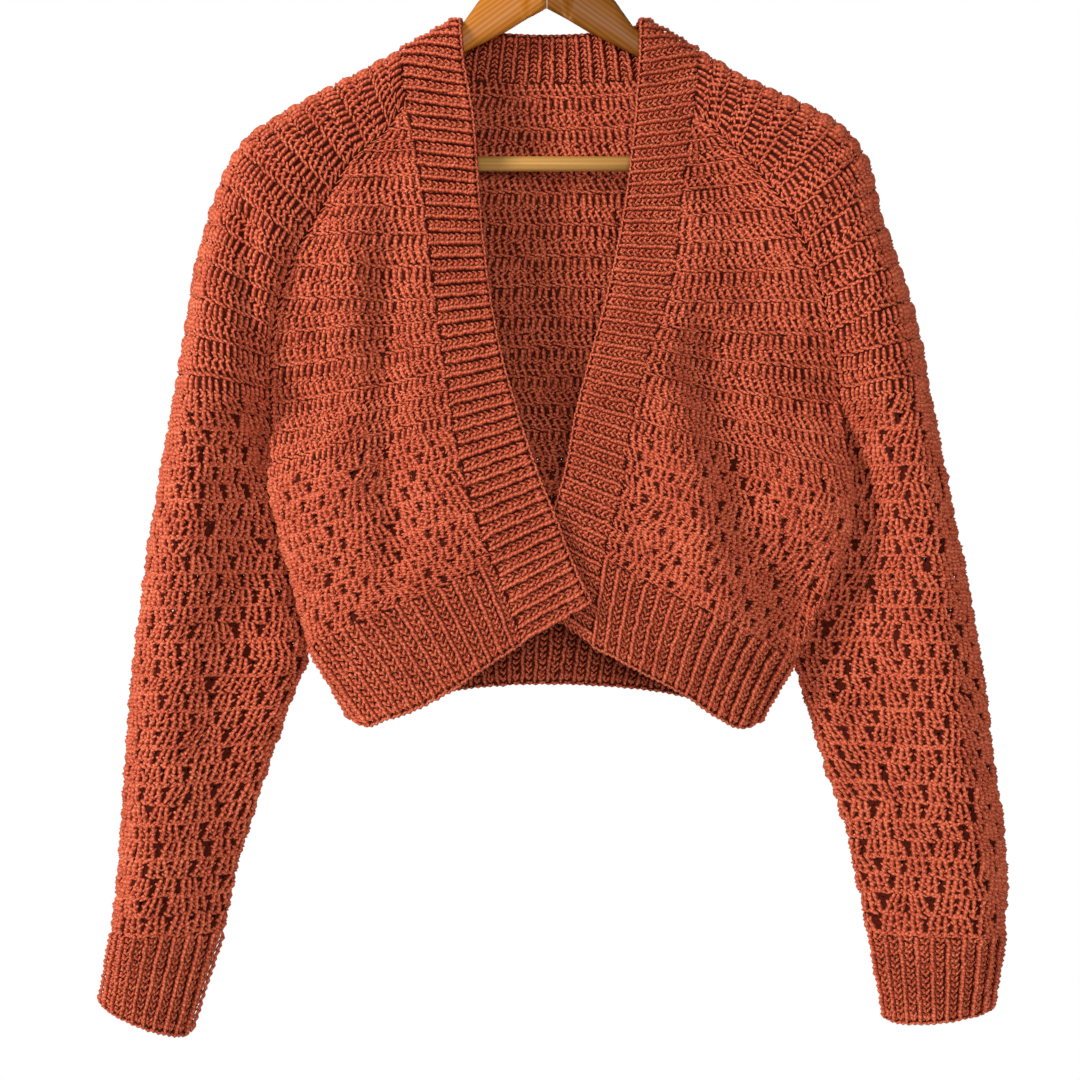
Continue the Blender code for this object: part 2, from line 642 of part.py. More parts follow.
BORE_LONG = 38
BORE_SIDES = 12
# Hook's centre line: x, z
HOOK_LINE = np.array([
    (0, 0, -87), (1, 0, -75), (2, 0, -63), (3, 0, -54), (4, 4, -46), (5, 13, -39.5), (6, 20.5, -31),
    (7, 23, -21), (8, 19.9, -9.5), (9, 11.5, -1.1), (10, 0, 2), (11, -11.5, -1.1), (12, -19.9, -9.5),
    (13, -23, -21), (14, -20.8, -30.7)], dtype=float)


# A closed body through rings of points
def loft(name, rings, colour):
    rings = np.asarray(rings)
    count, points, _ = rings.shape
    faces = []
    for i in range(count - 1):
        for j in range(points):
            k = (j + 1) % points
            faces.append([i * points + j, i * points + k, (i + 1) * points + k, (i + 1) * points + j])
    places = np.vstack([rings.reshape(-1, 3), rings[0].mean(axis=0), rings[-1].mean(axis=0)])
    for j in range(points):
        k = (j + 1) % points
        faces.append([k, j, count * points])
        faces.append([(count - 1) * points + j, (count - 1) * points + k, count * points + 1])
    return add_object(name, places, faces, colour)


def cylinder(name, centre, width, length, turn, sides, colour, collection):
    bpy.ops.mesh.primitive_cylinder_add(vertices=sides, radius=width / 2 * MM, depth=length * MM,
                                        location=[v * MM for v in centre], rotation=turn)
    result = bpy.context.active_object
    result.name = name
    result.data.materials.append(plain_material(name, colour))
    for owner in list(result.users_collection):
        owner.objects.unlink(result)
    collection.objects.link(result)
    return result


def cut(body, cutter):
    cutter.hide_render = True
    cutter.display_type = "WIRE"
    modifier = body.modifiers.new(cutter.name, "BOOLEAN")
    modifier.operation = "DIFFERENCE"
    modifier.solver = "EXACT"
    modifier.object = cutter


ALONG_X = (0, math.pi / 2, 0)
UPRIGHT = (0, 0, 0)
bore = cylinder("hook_bore", (0, 0, BORE_HEIGHT), WIRE + BORE_ROOM, BORE_LONG, UPRIGHT, BORE_SIDES,
                STEEL, cutters)
for side, sign in (("right", -1), ("left", 1)):
    rings = []
    for x, top, bottom, thick in ARM_SECTIONS:
        turn = np.arange(ARM_SIDES) * 2 * math.pi / ARM_SIDES
        ring_y = np.sign(np.cos(turn)) * np.abs(np.cos(turn)) ** ARM_POWER * thick / 2
        ring_z = np.sign(np.sin(turn)) * np.abs(np.sin(turn)) ** ARM_POWER * (top - bottom) / 2
        rings.append(np.stack([np.full(ARM_SIDES, sign * x), ring_y, (top + bottom) / 2 + ring_z], axis=-1))
    arm = loft("hanger_arm_" + side, rings, HONEY)
    socket = cylinder("bar_socket_" + side, (sign * SOCKET_CENTRE, 0, BAR_HEIGHT),
                      BAR_WIDTH + SOCKET_ROOM, SOCKET_LONG, ALONG_X, BAR_SIDES, HONEY, cutters)
    cut(arm, socket)
    cut(arm, bore)
cylinder("hanger_bar", (0, 0, BAR_HEIGHT), BAR_WIDTH, 2 * BAR_END, ALONG_X, BAR_SIDES, HONEY, garment)

wire = bpy.data.curves.new("hanger_hook", "CURVE")
wire.dimensions = "3D"
wire.bevel_depth = WIRE / 2 * MM
wire.bevel_resolution = 2
wire.use_fill_caps = True
run = wire.splines.new("POLY")
hook_points = smooth(HOOK_LINE, np.linspace(0, HOOK_LINE[-1, 0], WIRE_STEPS))
run.points.add(len(hook_points) - 1)
for point, (x, z) in zip(run.points, hook_points):
    point.co = (x * MM, 0, z * MM, 1)
wire.materials.append(plain_material("hanger_hook", STEEL))
garment.objects.link(bpy.data.objects.new("hanger_hook", wire))
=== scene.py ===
import math

import bmesh
import bpy
import numpy as np
from mathutils import Matrix


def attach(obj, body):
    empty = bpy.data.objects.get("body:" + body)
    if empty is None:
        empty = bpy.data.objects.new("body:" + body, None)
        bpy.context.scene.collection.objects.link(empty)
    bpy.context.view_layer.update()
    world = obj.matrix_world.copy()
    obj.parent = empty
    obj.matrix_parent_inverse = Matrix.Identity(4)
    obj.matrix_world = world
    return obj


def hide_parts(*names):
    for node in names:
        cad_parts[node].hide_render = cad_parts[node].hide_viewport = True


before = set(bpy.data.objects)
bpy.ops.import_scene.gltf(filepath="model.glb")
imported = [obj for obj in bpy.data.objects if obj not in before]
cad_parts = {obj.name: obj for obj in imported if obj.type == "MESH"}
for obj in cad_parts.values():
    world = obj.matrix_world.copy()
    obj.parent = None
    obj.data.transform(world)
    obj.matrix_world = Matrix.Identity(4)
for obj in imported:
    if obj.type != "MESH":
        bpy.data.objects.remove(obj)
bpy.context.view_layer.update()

# Camera, floor and light
# The photograph is taken square on, level with the middle of the cardigan, in soft daylight from
# the upper left. The floor is a plain pale sheet, well below the garment as it hangs from a rail.
MM = 0.001
CAMERA_AWAY = 1600      # from the garment, mm
PHOTO_WIDE = 788.4      # what the photograph spans at the garment, mm
LAMP_AIM = -0.45        # height that the lamps point at, m
FLOOR_HEIGHT = -1.9     # m
camera_data = bpy.data.cameras.new("camera")
camera_data.sensor_width = 36
camera_data.lens = 36 * CAMERA_AWAY / PHOTO_WIDE
camera = bpy.data.objects.new("camera", camera_data)
camera.location = (-5.1 * MM, -CAMERA_AWAY * MM, -489 * MM)
camera.rotation_euler = (math.pi / 2, 0, 0)
bpy.context.scene.collection.objects.link(camera)
bpy.context.scene.camera = camera


# One soft square lamp, turned to the middle of the garment
def add_panel(name, place, side, watts, colour):
    lamp = bpy.data.lights.new(name, "AREA")
    lamp.shape = "SQUARE"
    lamp.size = side
    lamp.energy = watts
    lamp.color = colour
    panel = bpy.data.objects.new(name, lamp)
    panel.location = place
    from_aim = panel.location.copy()
    from_aim.z -= LAMP_AIM
    panel.rotation_euler = from_aim.to_track_quat("Z", "Y").to_euler()
    bpy.context.scene.collection.objects.link(panel)


add_panel("window_panel", (-1.9, -1.4, 0.55), 0.7, 61, (1, 0.98, 0.95))
add_panel("front_panel", (0.1, -2.6, -0.1), 0.8, 34, (1, 0.99, 0.97))
add_panel("rear_panel", (0.6, 2.2, 0.4), 1.6, 42, (1, 1.0, 1.0))


# An sRGB hex colour as linear values, with alpha
def linear(colour):
    channels = [int(colour[k:k + 2], 16) / 255 for k in (1, 3, 5)]
    return [*(c / 12.92 if c <= 0.04045 else ((c + 0.055) / 1.055) ** 2.4 for c in channels), 1]


# Sets a node's properties and sockets; a node or a socket given as the value is linked
def fill(owner, node, settings):
    for name, value in settings.items():
        if isinstance(value, bpy.types.Node):
            value = value.outputs[0]
        if isinstance(value, bpy.types.NodeSocket):
            owner.node_tree.links.new(value, node.inputs[name])
        elif isinstance(name, str) and hasattr(node, name):
            setattr(node, name, value)
        else:
            node.inputs[name].default_value = value
    return node


def add_node(owner, kind, settings=None):
    return fill(owner, owner.node_tree.nodes.new(kind), settings or {})


def add_math(owner, operation, *values):
    return add_node(owner, "ShaderNodeMath", {"operation": operation, **dict(enumerate(values))})


# Noise that lies in the object's own space
def add_noise(owner, scale, detail, roughness=0.5):
    place = add_node(owner, "ShaderNodeTexCoord").outputs["Object"]
    noise = add_node(owner, "ShaderNodeTexNoise", {"Scale": scale, "Detail": detail, "Roughness": roughness,
                                                   "Vector": place})
    return noise.outputs["Fac"]


def add_ramp(owner, source, stops):
    node = add_node(owner, "ShaderNodeValToRGB", {"Fac": source})
    while len(node.color_ramp.elements) < len(stops):
        node.color_ramp.elements.new(0.5)
    for element, (place, colour) in zip(node.color_ramp.elements, stops):
        element.position = place
        element.color = linear(colour)
    return node


def new_material(name):
    material = bpy.data.materials.new(name)
    material.use_nodes = True
    return material, material.node_tree.nodes["Principled BSDF"]


room = bpy.data.worlds.new("pale room")
room.use_nodes = True
seen = fill(room, room.node_tree.nodes["Background"], {"Color": (1, 1, 1, 1), "Strength": 1.0})
glow = add_node(room, "ShaderNodeBackground", {"Color": (1, 1, 1, 1), "Strength": 0.23})
ray = add_node(room, "ShaderNodeLightPath")
both = add_node(room, "ShaderNodeMixShader", {0: ray.outputs["Is Camera Ray"], 1: glow, 2: seen})
fill(room, room.node_tree.nodes["World Output"], {"Surface": both})
bpy.context.scene.world = room
bpy.context.scene.view_settings.view_transform = "Standard"

# Painted board: even, matt, nearly white
board, board_shader = new_material("matt painted board")
fill(board, board_shader, {"Base Color": linear("#F2F1EE"), "Roughness": 0.9})
floor_mesh = bpy.data.meshes.new("floor")
floor_shape = bmesh.new()
bmesh.ops.create_grid(floor_shape, x_segments=1, y_segments=1, size=3.5)
bmesh.ops.translate(floor_shape, verts=floor_shape.verts, vec=(0, 0, FLOOR_HEIGHT))
floor_shape.to_mesh(floor_mesh)
floor_shape.free()
floor_mesh.materials.append(board)
floor = bpy.data.objects.new("floor", floor_mesh)
bpy.context.scene.collection.objects.link(floor)


# Hanger
# A flat wooden hanger: two sawn and rounded arms, mitred under the hook and lacquered honey
# brown, a paler turned bar between their tips, and a bent steel wire hook screwed in on top.
def add_wood(name, dark, middle, light, slope, gloss):
    # Lacquered softwood: long grain lines about 2 mm apart, wavering, under a thin clear coat
    wood, shader = new_material(name)
    place = add_node(wood, "ShaderNodeTexCoord").outputs["Object"]
    turned = add_node(wood, "ShaderNodeMapping", {"Rotation": (0, slope, 0), "Vector": place})
    drawn_out = add_node(wood, "ShaderNodeMapping", {"Scale": (0.07, 1, 1), "Vector": turned})
    waver = add_node(wood, "ShaderNodeTexNoise",
                     {"Scale": 90, "Detail": 4, "Vector": drawn_out}).outputs["Fac"]
    grain = add_node(wood, "ShaderNodeTexWave",
                     {"wave_type": "BANDS", "bands_direction": "Z", "Scale": 95, "Distortion": 4.5,
                      "Detail": 3, "Detail Scale": 0.8, "Vector": drawn_out}).outputs["Fac"]
    colour = add_ramp(wood, add_math(wood, "MULTIPLY", grain, waver),
                      [(0.0, light), (0.45, middle), (1.0, dark)])
    pores = add_node(wood, "ShaderNodeBump", {"Strength": 0.15, "Distance": 0.0003, "Height": waver})
    fill(wood, shader, {"Base Color": colour, "Normal": pores, "Roughness": 0.45, "Coat Weight": gloss,
                        "Coat Roughness": 0.3, "Specular IOR Level": 0.16})
    return wood


# Puts a finished mesh into the scene, on the frame's one body
def add_object(name, mesh, material):
    mesh.shade_smooth()
    mesh.materials.append(material)
    piece = bpy.data.objects.new(name, mesh)
    bpy.context.scene.collection.objects.link(piece)
    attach(piece, "root")
    return piece


# Each section of an arm: x, top, bottom and thickness
ARM_SECTIONS = np.array([
    (0.15, -61, -101, 14), (15, -66, -109, 14), (30, -78, -118, 14), (50, -96, -128, 13.5),
    (63, -114.5, -134.5, 12), (80, -126.5, -143, 11.5), (106, -141, -156.5, 11.5),
    (135, -155.5, -172, 12), (158, -166, -184, 13), (183, -180, -206, 13.5), (195, -187, -225, 14),
    (205, -194, -227.5, 13.5), (213, -203, -221, 9)], dtype=float)
ARM_SIDES = 32
ARM_STEPS = 44
FACE_POWER = 0.7        # 1 gives a round section, less a flatter one
EDGE_POWER = 0.8
BAR_RADIUS = 5.5
BAR_LONG = 408
BAR_HEIGHT = -214.5
# Both arms are the same pine: the left arm's darker tones are painted shade, as it faces away from the light
for side, sign, slope, tones in (("right", -1, 0.62, ("#8A4A10", "#A8621C", "#BB7628")),
                                 ("left", 1, -0.62, ("#5C2F08", "#72410C", "#824E12"))):
    arm_shape = bmesh.new()
    turn_of = arm_shape.verts.layers.float.new("turn")
    ring = bmesh.ops.create_circle(arm_shape, segments=ARM_SIDES, radius=1)["verts"]
    for number, vert in enumerate(ring):
        vert[turn_of] = number * 2 * math.pi / ARM_SIDES
    edges = list(arm_shape.edges)
    even_steps = np.linspace(ARM_SECTIONS[0, 0], ARM_SECTIONS[-1, 0], ARM_STEPS)
    for x in np.unique(np.concatenate([ARM_SECTIONS[:, 0], even_steps])):
        if x > ARM_SECTIONS[0, 0]:
            grown = bmesh.ops.extrude_edge_only(arm_shape, edges=edges)["geom"]
            ring = [part for part in grown if isinstance(part, bmesh.types.BMVert)]
            edges = [part for part in grown if isinstance(part, bmesh.types.BMEdge)
                     and part.verts[0] in ring and part.verts[1] in ring]
        top, bottom, thick = (np.interp(x, ARM_SECTIONS[:, 0], ARM_SECTIONS[:, k]) for k in (1, 2, 3))
        for vert in ring:
            across = math.cos(vert[turn_of])
            up = math.sin(vert[turn_of])
            tall = math.copysign(abs(up) ** EDGE_POWER, up) * (top - bottom) / 2
            vert.co = (sign * x * MM, math.copysign(abs(across) ** FACE_POWER, across) * thick / 2 * MM,
                       ((top + bottom) / 2 + tall) * MM)
    bmesh.ops.holes_fill(arm_shape, edges=arm_shape.edges, sides=0)
    bmesh.ops.recalc_face_normals(arm_shape, faces=arm_shape.faces)
    arm_mesh = bpy.data.meshes.new("wood_arm_" + side)
    arm_shape.to_mesh(arm_mesh)
    arm_shape.free()
    arm_wood = add_wood("lacquered pine, arm " + side, *tones, slope, 0.04)
    arm = add_object("wood_arm_" + side, arm_mesh, arm_wood)
    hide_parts("hanger_arm_" + side)

bar_shape = bmesh.new()
bmesh.ops.create_cone(bar_shape, cap_ends=True, segments=36, radius1=BAR_RADIUS * MM, radius2=BAR_RADIUS * MM,
                      depth=BAR_LONG * MM)
bmesh.ops.rotate(bar_shape, verts=bar_shape.verts, cent=(0, 0, 0),
                 matrix=Matrix.Rotation(math.pi / 2, 3, "Y"))
bmesh.ops.translate(bar_shape, verts=bar_shape.verts, vec=(0, 0, BAR_HEIGHT * MM))
bar_mesh = bpy.data.meshes.new("wood_bar")
bar_shape.to_mesh(bar_mesh)
bar_shape.free()
bar_wood = add_wood("lacquered pine, bar", "#94662C", "#B08040", "#BC8C4C", 0, 0.06)
bar = add_object("wood_bar", bar_mesh, bar_wood)
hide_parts("hanger_bar")

# Drawn steel wire, bright zinc plated: fine marks and a soft reflection
steel, steel_shader = new_material("zinc plated steel wire")
steel_colour = add_ramp(steel, add_noise(steel, 1400, 3), [(0.3, "#9C9C9A"), (0.7, "#C4C4C2")])
fill(steel, steel_shader, {"Base Color": steel_colour, "Metallic": 1.0, "Roughness": 0.3})
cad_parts["hanger_hook"].data.materials.clear()
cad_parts["hanger_hook"].data.materials.append(steel)


# Back
# The cardigan is crocheted from the neck down in one piece, in a smooth cotton yarn about
# 2.5 mm thick. The back has 25 rows of double crochet and then 11 rows of three-stitch shells
# with small open corners. Everything starts from the line where the band is sewn on.

# The band, one row per station from the right front's corner over the neck to the left corner:
# free edge x, y, z, then sewn edge x, y, z
BAND_STATIONS = np.array([
    (32, -52, -534, -17, -50, -562), (19, -53, -507, -30, -52, -526),
    (8, -52, -478, -43, -53, -493), (-7, -49, -440, -55, -52, -457),
    (-21, -44, -397, -65, -48, -415), (-34, -38, -350, -73, -43, -363),
    (-43, -31, -296, -81, -37, -306), (-49, -26, -238, -88, -30, -246),
    (-53, -22, -186, -96, -24, -200), (-60, -18, -145, -103, -19, -167),
    (-63, -14, -118, -106, -14, -144), (-64, 0, -107.5, -107, 1, -131.5),
    (-59, 13, -112, -100, 14, -141), (-35, 20, -115, -57, 20, -150),
    (0, 24, -116, 0, 22, -152), (34, 20, -115, 57, 20, -150),
    (63, 13, -112, 102, 14, -141), (69, 0, -107.5, 111, 1, -131.5),
    (68, -14, -119, 110, -14, -145), (66, -18, -156, 107, -19, -173),
    (62, -22, -201, 101, -25, -210), (57, -26, -241, 96, -30, -249),
    (50, -30, -281, 92, -35, -290), (41, -33, -321, 82, -38, -331),
    (31, -37, -357, 70, -42, -364), (20, -40, -400, 59, -44, -411),
    (13, -42, -439, 53, -45, -455), (4, -43, -471, 42, -44, -493),
    (1, -43, -507, 36, -43, -526), (-2, -42, -540, 31, -41, -564),
], dtype=float)

LAST_STATION = 29
BACK_STATION = 14       # the middle of the back's neck
BODY_ROWS = 36          # rows are counted from the neck down
PLAIN_ROWS = 25         # how many of them are double crochet
UNDERARM_ROW = 20
SIDE_TURN = (19, 26)    # between these rows the cloth turns in below the arm, round to the side
SIDE_POWER = 0.8
NECK_MATCH_ROWS = 3     # over these rows the back leaves the band's line for its own
CLOTH_DEPTH = 1.6       # from the wall's outer face to the middle of the cloth, mm

# Each front's edges: row, station of the band beside it, then x, y, z of the raglan and the side;
# the first row is one point on the band's sewn edge
FRONT_EDGES = {
    "right": np.array([
        (0, 8.85, 0, 0, 0), (1.8, 8.2, -115, -21, -192),
        (4.7, 7.65, -141, -25, -216), (7.9, 6.93, -161, -30, -250),
        (10.9, 6.4, -179, -34, -282), (13.9, 5.78, -192, -32, -317),
        (17.2, 5.37, -200, -20, -356), (20, 4.89, -202, -4, -391),
        (22.7, 4.53, -201, -12, -421), (25.3, 4.04, -201, -15, -451),
        (27.8, 3.48, -195, -15, -478), (30.8, 2.69, -186, -14, -511),
        (33.5, 2.1, -179, -14, -540), (36, 1.62, -172, -14, -567),
    ]),
    "left": np.array([
        (0, 19.15, 0, 0, 0), (1.4, 19.67, 120, -21, -192),
        (4.3, 20.38, 144, -25, -216), (7.5, 21.12, 169, -30, -246),
        (10.4, 21.82, 185, -34, -278), (13.8, 22.68, 198, -32, -317),
        (17, 23.48, 208, -20, -356), (20, 24.17, 215, -4, -391),
        (22.1, 24.5, 218, -12, -417), (24.8, 25.03, 222, -15, -449),
        (27.1, 25.5, 220, -15, -478), (30.4, 26.2, 209, -14, -516),
        (33.3, 26.74, 194, -14, -547), (36, 27.26, 179, -14, -577),
    ]),
}

# The back's raglan lines down to the underarm: row, right x, left x, y, z; the first row lies on the
# band's sewn edge, at these stations. Then its centre line: row, x, y, z.
BACK_STATIONS = {"right": 12.15, "left": 15.85}
BACK_RAGLAN = np.array([(0, 0, 0, 0, 0), (4, -125, 129, 17, -192), (8, -148, 155, 20, -243),
                        (12, -170, 180, 21, -295), (16, -190, 202, 14, -346), (20, -202, 215, -4, -391)],
                       dtype=float)
BACK_CENTRE = np.array([(0, 0, 22, -152), (6, 2, 24, -222), (12, 3, 25, -292), (20, 4, 27, -380),
                        (28, 4, 30, -456), (36, 3, 32, -532)], dtype=float)

# The largest folds of each piece: start x, z, end x, z, half width, rise outwards
FOLDS = {
    "front_right": ((-140, -262, -146, -455, 18, 8), (-116, -300, -106, -500, 14, -9),
                    (-120, -215, -100, -260, 20, -4)),
    "front_left": ((132, -226, 150, -330, 26, -8), (66, -322, 120, -530, 24, 10),
                   (112, -362, 176, -535, 30, -18), (165, -470, 150, -550, 22, 5)),
    "back": ((-80, -300, -95, -520, 26, 6), (70, -260, 96, -520, 28, 6), (0, -330, 6, -530, 30, -6)),
    "sleeve_right": ((-243, -300, -300, -774, 26, 10), (-214, -262, -205, -440, 9, -9),
                     (-214, -450, -238, -760, 24, -7)),
    "sleeve_left": ((245, -300, 316, -774, 26, 10), (203, -262, 226, -440, 11, -9),
                    (224, -450, 242, -760, 24, -7)),
}


# A smooth line through the rows of a table; the first column says where each row stands
def smooth(table, at):
    keys = table[:, 0]
    values = table[:, 1:]
    at = np.clip(np.asarray(at, dtype=float), keys[0], keys[-1])
    steps = np.diff(keys)
    slopes = np.diff(values, axis=0) / steps[:, None]
    tangents = np.empty_like(values)
    tangents[0] = slopes[0]
    tangents[-1] = slopes[-1]
    before = steps[:-1, None]
    after = steps[1:, None]
    tangents[1:-1] = (slopes[:-1] * after + slopes[1:] * before) / (before + after)
    span = np.clip(np.searchsorted(keys, at, side="right") - 1, 0, len(keys) - 2)
    width = steps[span][..., None]
    part = ((at - keys[span]) / steps[span])[..., None]
    return ((2 * part ** 3 - 3 * part ** 2 + 1) * values[span]
            + (part ** 3 - 2 * part ** 2 + part) * width * tangents[span]
            + (3 * part ** 2 - 2 * part ** 3) * values[span + 1]
            + (part ** 3 - part ** 2) * width * tangents[span + 1])


def ease(low, high, value):
    part = np.clip((value - low) / (high - low), 0, 1)
    return part * part * (3 - 2 * part)


# Points in steps from one line to another
def between(first, second, steps):
    return first + (second - first) * np.linspace(0, 1, steps)[:, None, None]


def grid(top, bottom, rows, left, right, columns):
    return np.meshgrid(np.linspace(top, bottom, rows), np.linspace(left, right, columns), indexing="ij")


STATION_KEYS = np.arange(len(BAND_STATIONS), dtype=float)[:, None]


def band_free_edge(station):
    return smooth(np.hstack([STATION_KEYS, BAND_STATIONS[:, :3]]), station)


def band_sewn_edge(station):
    return smooth(np.hstack([STATION_KEYS, BAND_STATIONS[:, 3:]]), station)


# The line where a front meets the sleeve and then the back
def outer_edge(side, row):
    table = FRONT_EDGES[side][:, [0, 2, 3, 4]].copy()
    table[0, 1:] = band_sewn_edge(FRONT_EDGES[side][0, 1])
    return smooth(table, row)


def back_edge(side, row):
    table = BACK_RAGLAN[:, [0, 1 if side == "right" else 2, 3, 4]]
    table[0, 1:] = band_sewn_edge(BACK_STATIONS[side])
    above = smooth(table, np.minimum(row, UNDERARM_ROW))
    return np.where((row > UNDERARM_ROW)[..., None], outer_edge(side, row), above)


# Soft ridges and troughs along straight lines; outwards is away from the viewer on the back
def add_folds(piece, points, edge_fade, direction=-1.0):
    for x1, z1, x2, z2, width, rise in FOLDS[piece]:
        dx = x2 - x1
        dz = z2 - z1
        length2 = dx * dx + dz * dz
        along = ((points[..., 0] - x1) * dx + (points[..., 2] - z1) * dz) / length2
        near = np.clip(along, 0, 1)
        away = np.hypot(points[..., 0] - x1 - near * dx, points[..., 2] - z1 - near * dz)
        points[..., 1] += direction * rise * np.exp(-(away / width) ** 2) * edge_fade
    return points


def back_plain(row, across):
    centre = smooth(BACK_CENTRE, row)
    edge = np.where((across < 0)[..., None], back_edge("right", row), back_edge("left", row))
    out = np.abs(across)
    turned = ease(*SIDE_TURN, row)
    quarter = out * math.pi / 2
    sideways = out + (np.sin(quarter) - out) * turned
    forwards = out ** 2 + (1 - np.cos(quarter) ** SIDE_POWER - out ** 2) * turned
    points = centre + (edge - centre) * np.stack([sideways, forwards, out ** 2], axis=-1)
    return add_folds("back", points, ease(0, 0.2, 1 - out) * ease(2, 10, row), 1.0)


# The back: across from -1 at the right side to 1 at the left side; its top edge lies on the band
def back_point(row, across):
    neck = band_sewn_edge(BACK_STATION + across * (BACK_STATIONS["left"] - BACK_STATION))
    first = back_plain(np.zeros_like(row), across)
    return back_plain(row, across) + (neck - first) * (1 - ease(0, NECK_MATCH_ROWS, row))[..., None]


def unit(vectors):
    length = np.linalg.norm(vectors, axis=-1, keepdims=True)
    return vectors / np.maximum(length, 1e-9)


# A piece of cloth as a fine net: even steps across, and the outward direction at each point. Rows
# near a tip, under 3 mm long, take the next row's direction, and then all directions are smoothed.
def surface(points, turned_over=False, closed=False, depth=CLOTH_DEPTH):
    even = np.empty_like(points)
    steps = np.linalg.norm(np.diff(points, axis=1), axis=2)
    run = np.hstack([np.zeros((len(points), 1)), np.cumsum(steps, axis=1)])
    for number, (row, length) in enumerate(zip(points, run)):
        wanted = np.linspace(0, length[-1], points.shape[1])
        even[number] = row
        if length[-1] > 0.01:
            even[number] = np.stack([np.interp(wanted, length, row[:, k]) for k in range(3)], axis=-1)
    out = np.cross(np.gradient(even, axis=1), np.gradient(even, axis=0))
    if turned_over:
        out = -out
    for number in range(len(out) - 2, -1, -1):
        if run[number, -1] < 3:
            out[number] = out[number + 1]
    out = unit(out)
    for _ in range(6):
        padded = np.pad(out, ((1, 1), (1, 1), (0, 0)), mode="edge")
        if closed:
            padded[1:-1, 0] = out[:, -2]
            padded[1:-1, -1] = out[:, 1]
        out = unit(padded[:-2, 1:-1] + padded[2:, 1:-1] + padded[1:-1, :-2] + padded[1:-1, 2:] + out)
    return {"places": even - out * depth, "out": out, "width": run[:, -1],
            "turned_over": turned_over, "closed": closed}


# Place and outward direction; down and across run from 0 to 1
def read_cloth(cloth, down, across):
    rows, columns, _ = cloth["places"].shape
    if cloth["closed"]:
        across = across % 1
    down = np.clip(down, -0.03, 1.03) * (rows - 1)
    across = np.clip(across, 0, 1) * (columns - 1)
    i = np.clip(down.astype(int), 0, rows - 2)
    j = np.minimum(across.astype(int), columns - 2)
    a = (down - i)[..., None]
    b = (across - j)[..., None]
    read = []
    for values in (cloth["places"], cloth["out"]):
        upper = values[i, j] * (1 - b) + values[i, j + 1] * b
        lower = values[i + 1, j] * (1 - b) + values[i + 1, j + 1] * b
        read.append(upper * (1 - a) + lower * a)
    return read


# One stitch's yarn as three-sided strands with an edge on top, fat in the middle and drawn in at
# both ends, as yarn looks between the places where it dives under. Each strand is its bends in mm
# (x across, y down, z outwards), its thickness and its number of steps. The yarn map holds mm
# along the strand and the turn round it: 0 on top, 0.25 and 0.75 at the sides. The yarn material
# paints the sides darker than the top from this turn, as painted shade.
TURNS = (0, 0.25, 0.75, 1)
FLATTENED = 0.85
DRAWN_IN = 0.66         # a strand's thickness at its ends, of that in its middle


def stitch(width, height, strands, inside=False):
    corners = []
    faces = []
    yarn = []
    owners = []
    sides = len(TURNS) - 1
    for number, (bends, thick, steps) in enumerate(strands):
        keys = np.linspace(0, 1, len(bends))[:, None]
        shares = np.linspace(0, 1, steps + 1)
        path = smooth(np.hstack([keys, bends]), shares)
        run = np.concatenate([[0], np.cumsum(np.linalg.norm(np.diff(path, axis=0), axis=1))])
        ahead = unit(np.gradient(path, axis=0))
        beside = unit(np.cross(ahead, (0, 0, 1)) + (0, 0, 1e-6))
        above = np.cross(beside, ahead)
        radii = thick / 2 * (DRAWN_IN + (1 - DRAWN_IN) * np.sin(math.pi * shares))
        first = len(corners)
        owners += [number] * (steps + 1) * sides
        for centre, side_way, up_way, radius in zip(path, beside, above, radii):
            for turn in math.pi / 2 + np.arange(sides) * 2 * math.pi / sides:
                corners.append(centre + radius * (math.cos(turn) * side_way
                                                  + FLATTENED * math.sin(turn) * up_way))
        for step in range(steps):
            for k in range(sides):
                a = first + step * sides + k
                b = first + step * sides + (k + 1) % sides
                faces.append((b, b + sides, a + sides, a))
                yarn.append(((run[step], TURNS[k + 1]), (run[step + 1], TURNS[k + 1]),
                             (run[step + 1], TURNS[k]), (run[step], TURNS[k])))
    corners = np.array(corners)
    if inside:
        corners[:, 0] = width - corners[:, 0]
        corners[:, 2] *= -1
    return {"width": width, "height": height, "corners": corners, "strands": np.array(owners),
            "faces": np.array(faces), "yarn": np.array(yarn)}


def width_at(cloth, down):
    return np.interp(down, np.linspace(0, 1, len(cloth["width"])), cloth["width"])


# Where each stitch of a row starts and how wide it is, with room left open at the raglan lines
def row_places(cloth, rows, number, wide, open_low=0.0, open_high=0.0):
    width = width_at(cloth, (number + 0.5) / rows)
    low = open_low / width
    high = 1 - open_high / width
    count = max(round((high - low) * width / wide), 1)
    span = (high - low) / count
    return low + span * np.arange(count), span


# How unevenly stitches are worked: each one's lean and its shifts across and down, in stitches, its
# lift in mm and its puff as a share; then how far its strands lie off their places, in mm
UNEVEN = (0.12, 0.04, 0.03, 0.2, 0.08)
STRAND_SHIFT = (0.28, 0.38, 0.22)
chance = np.random.default_rng(4)


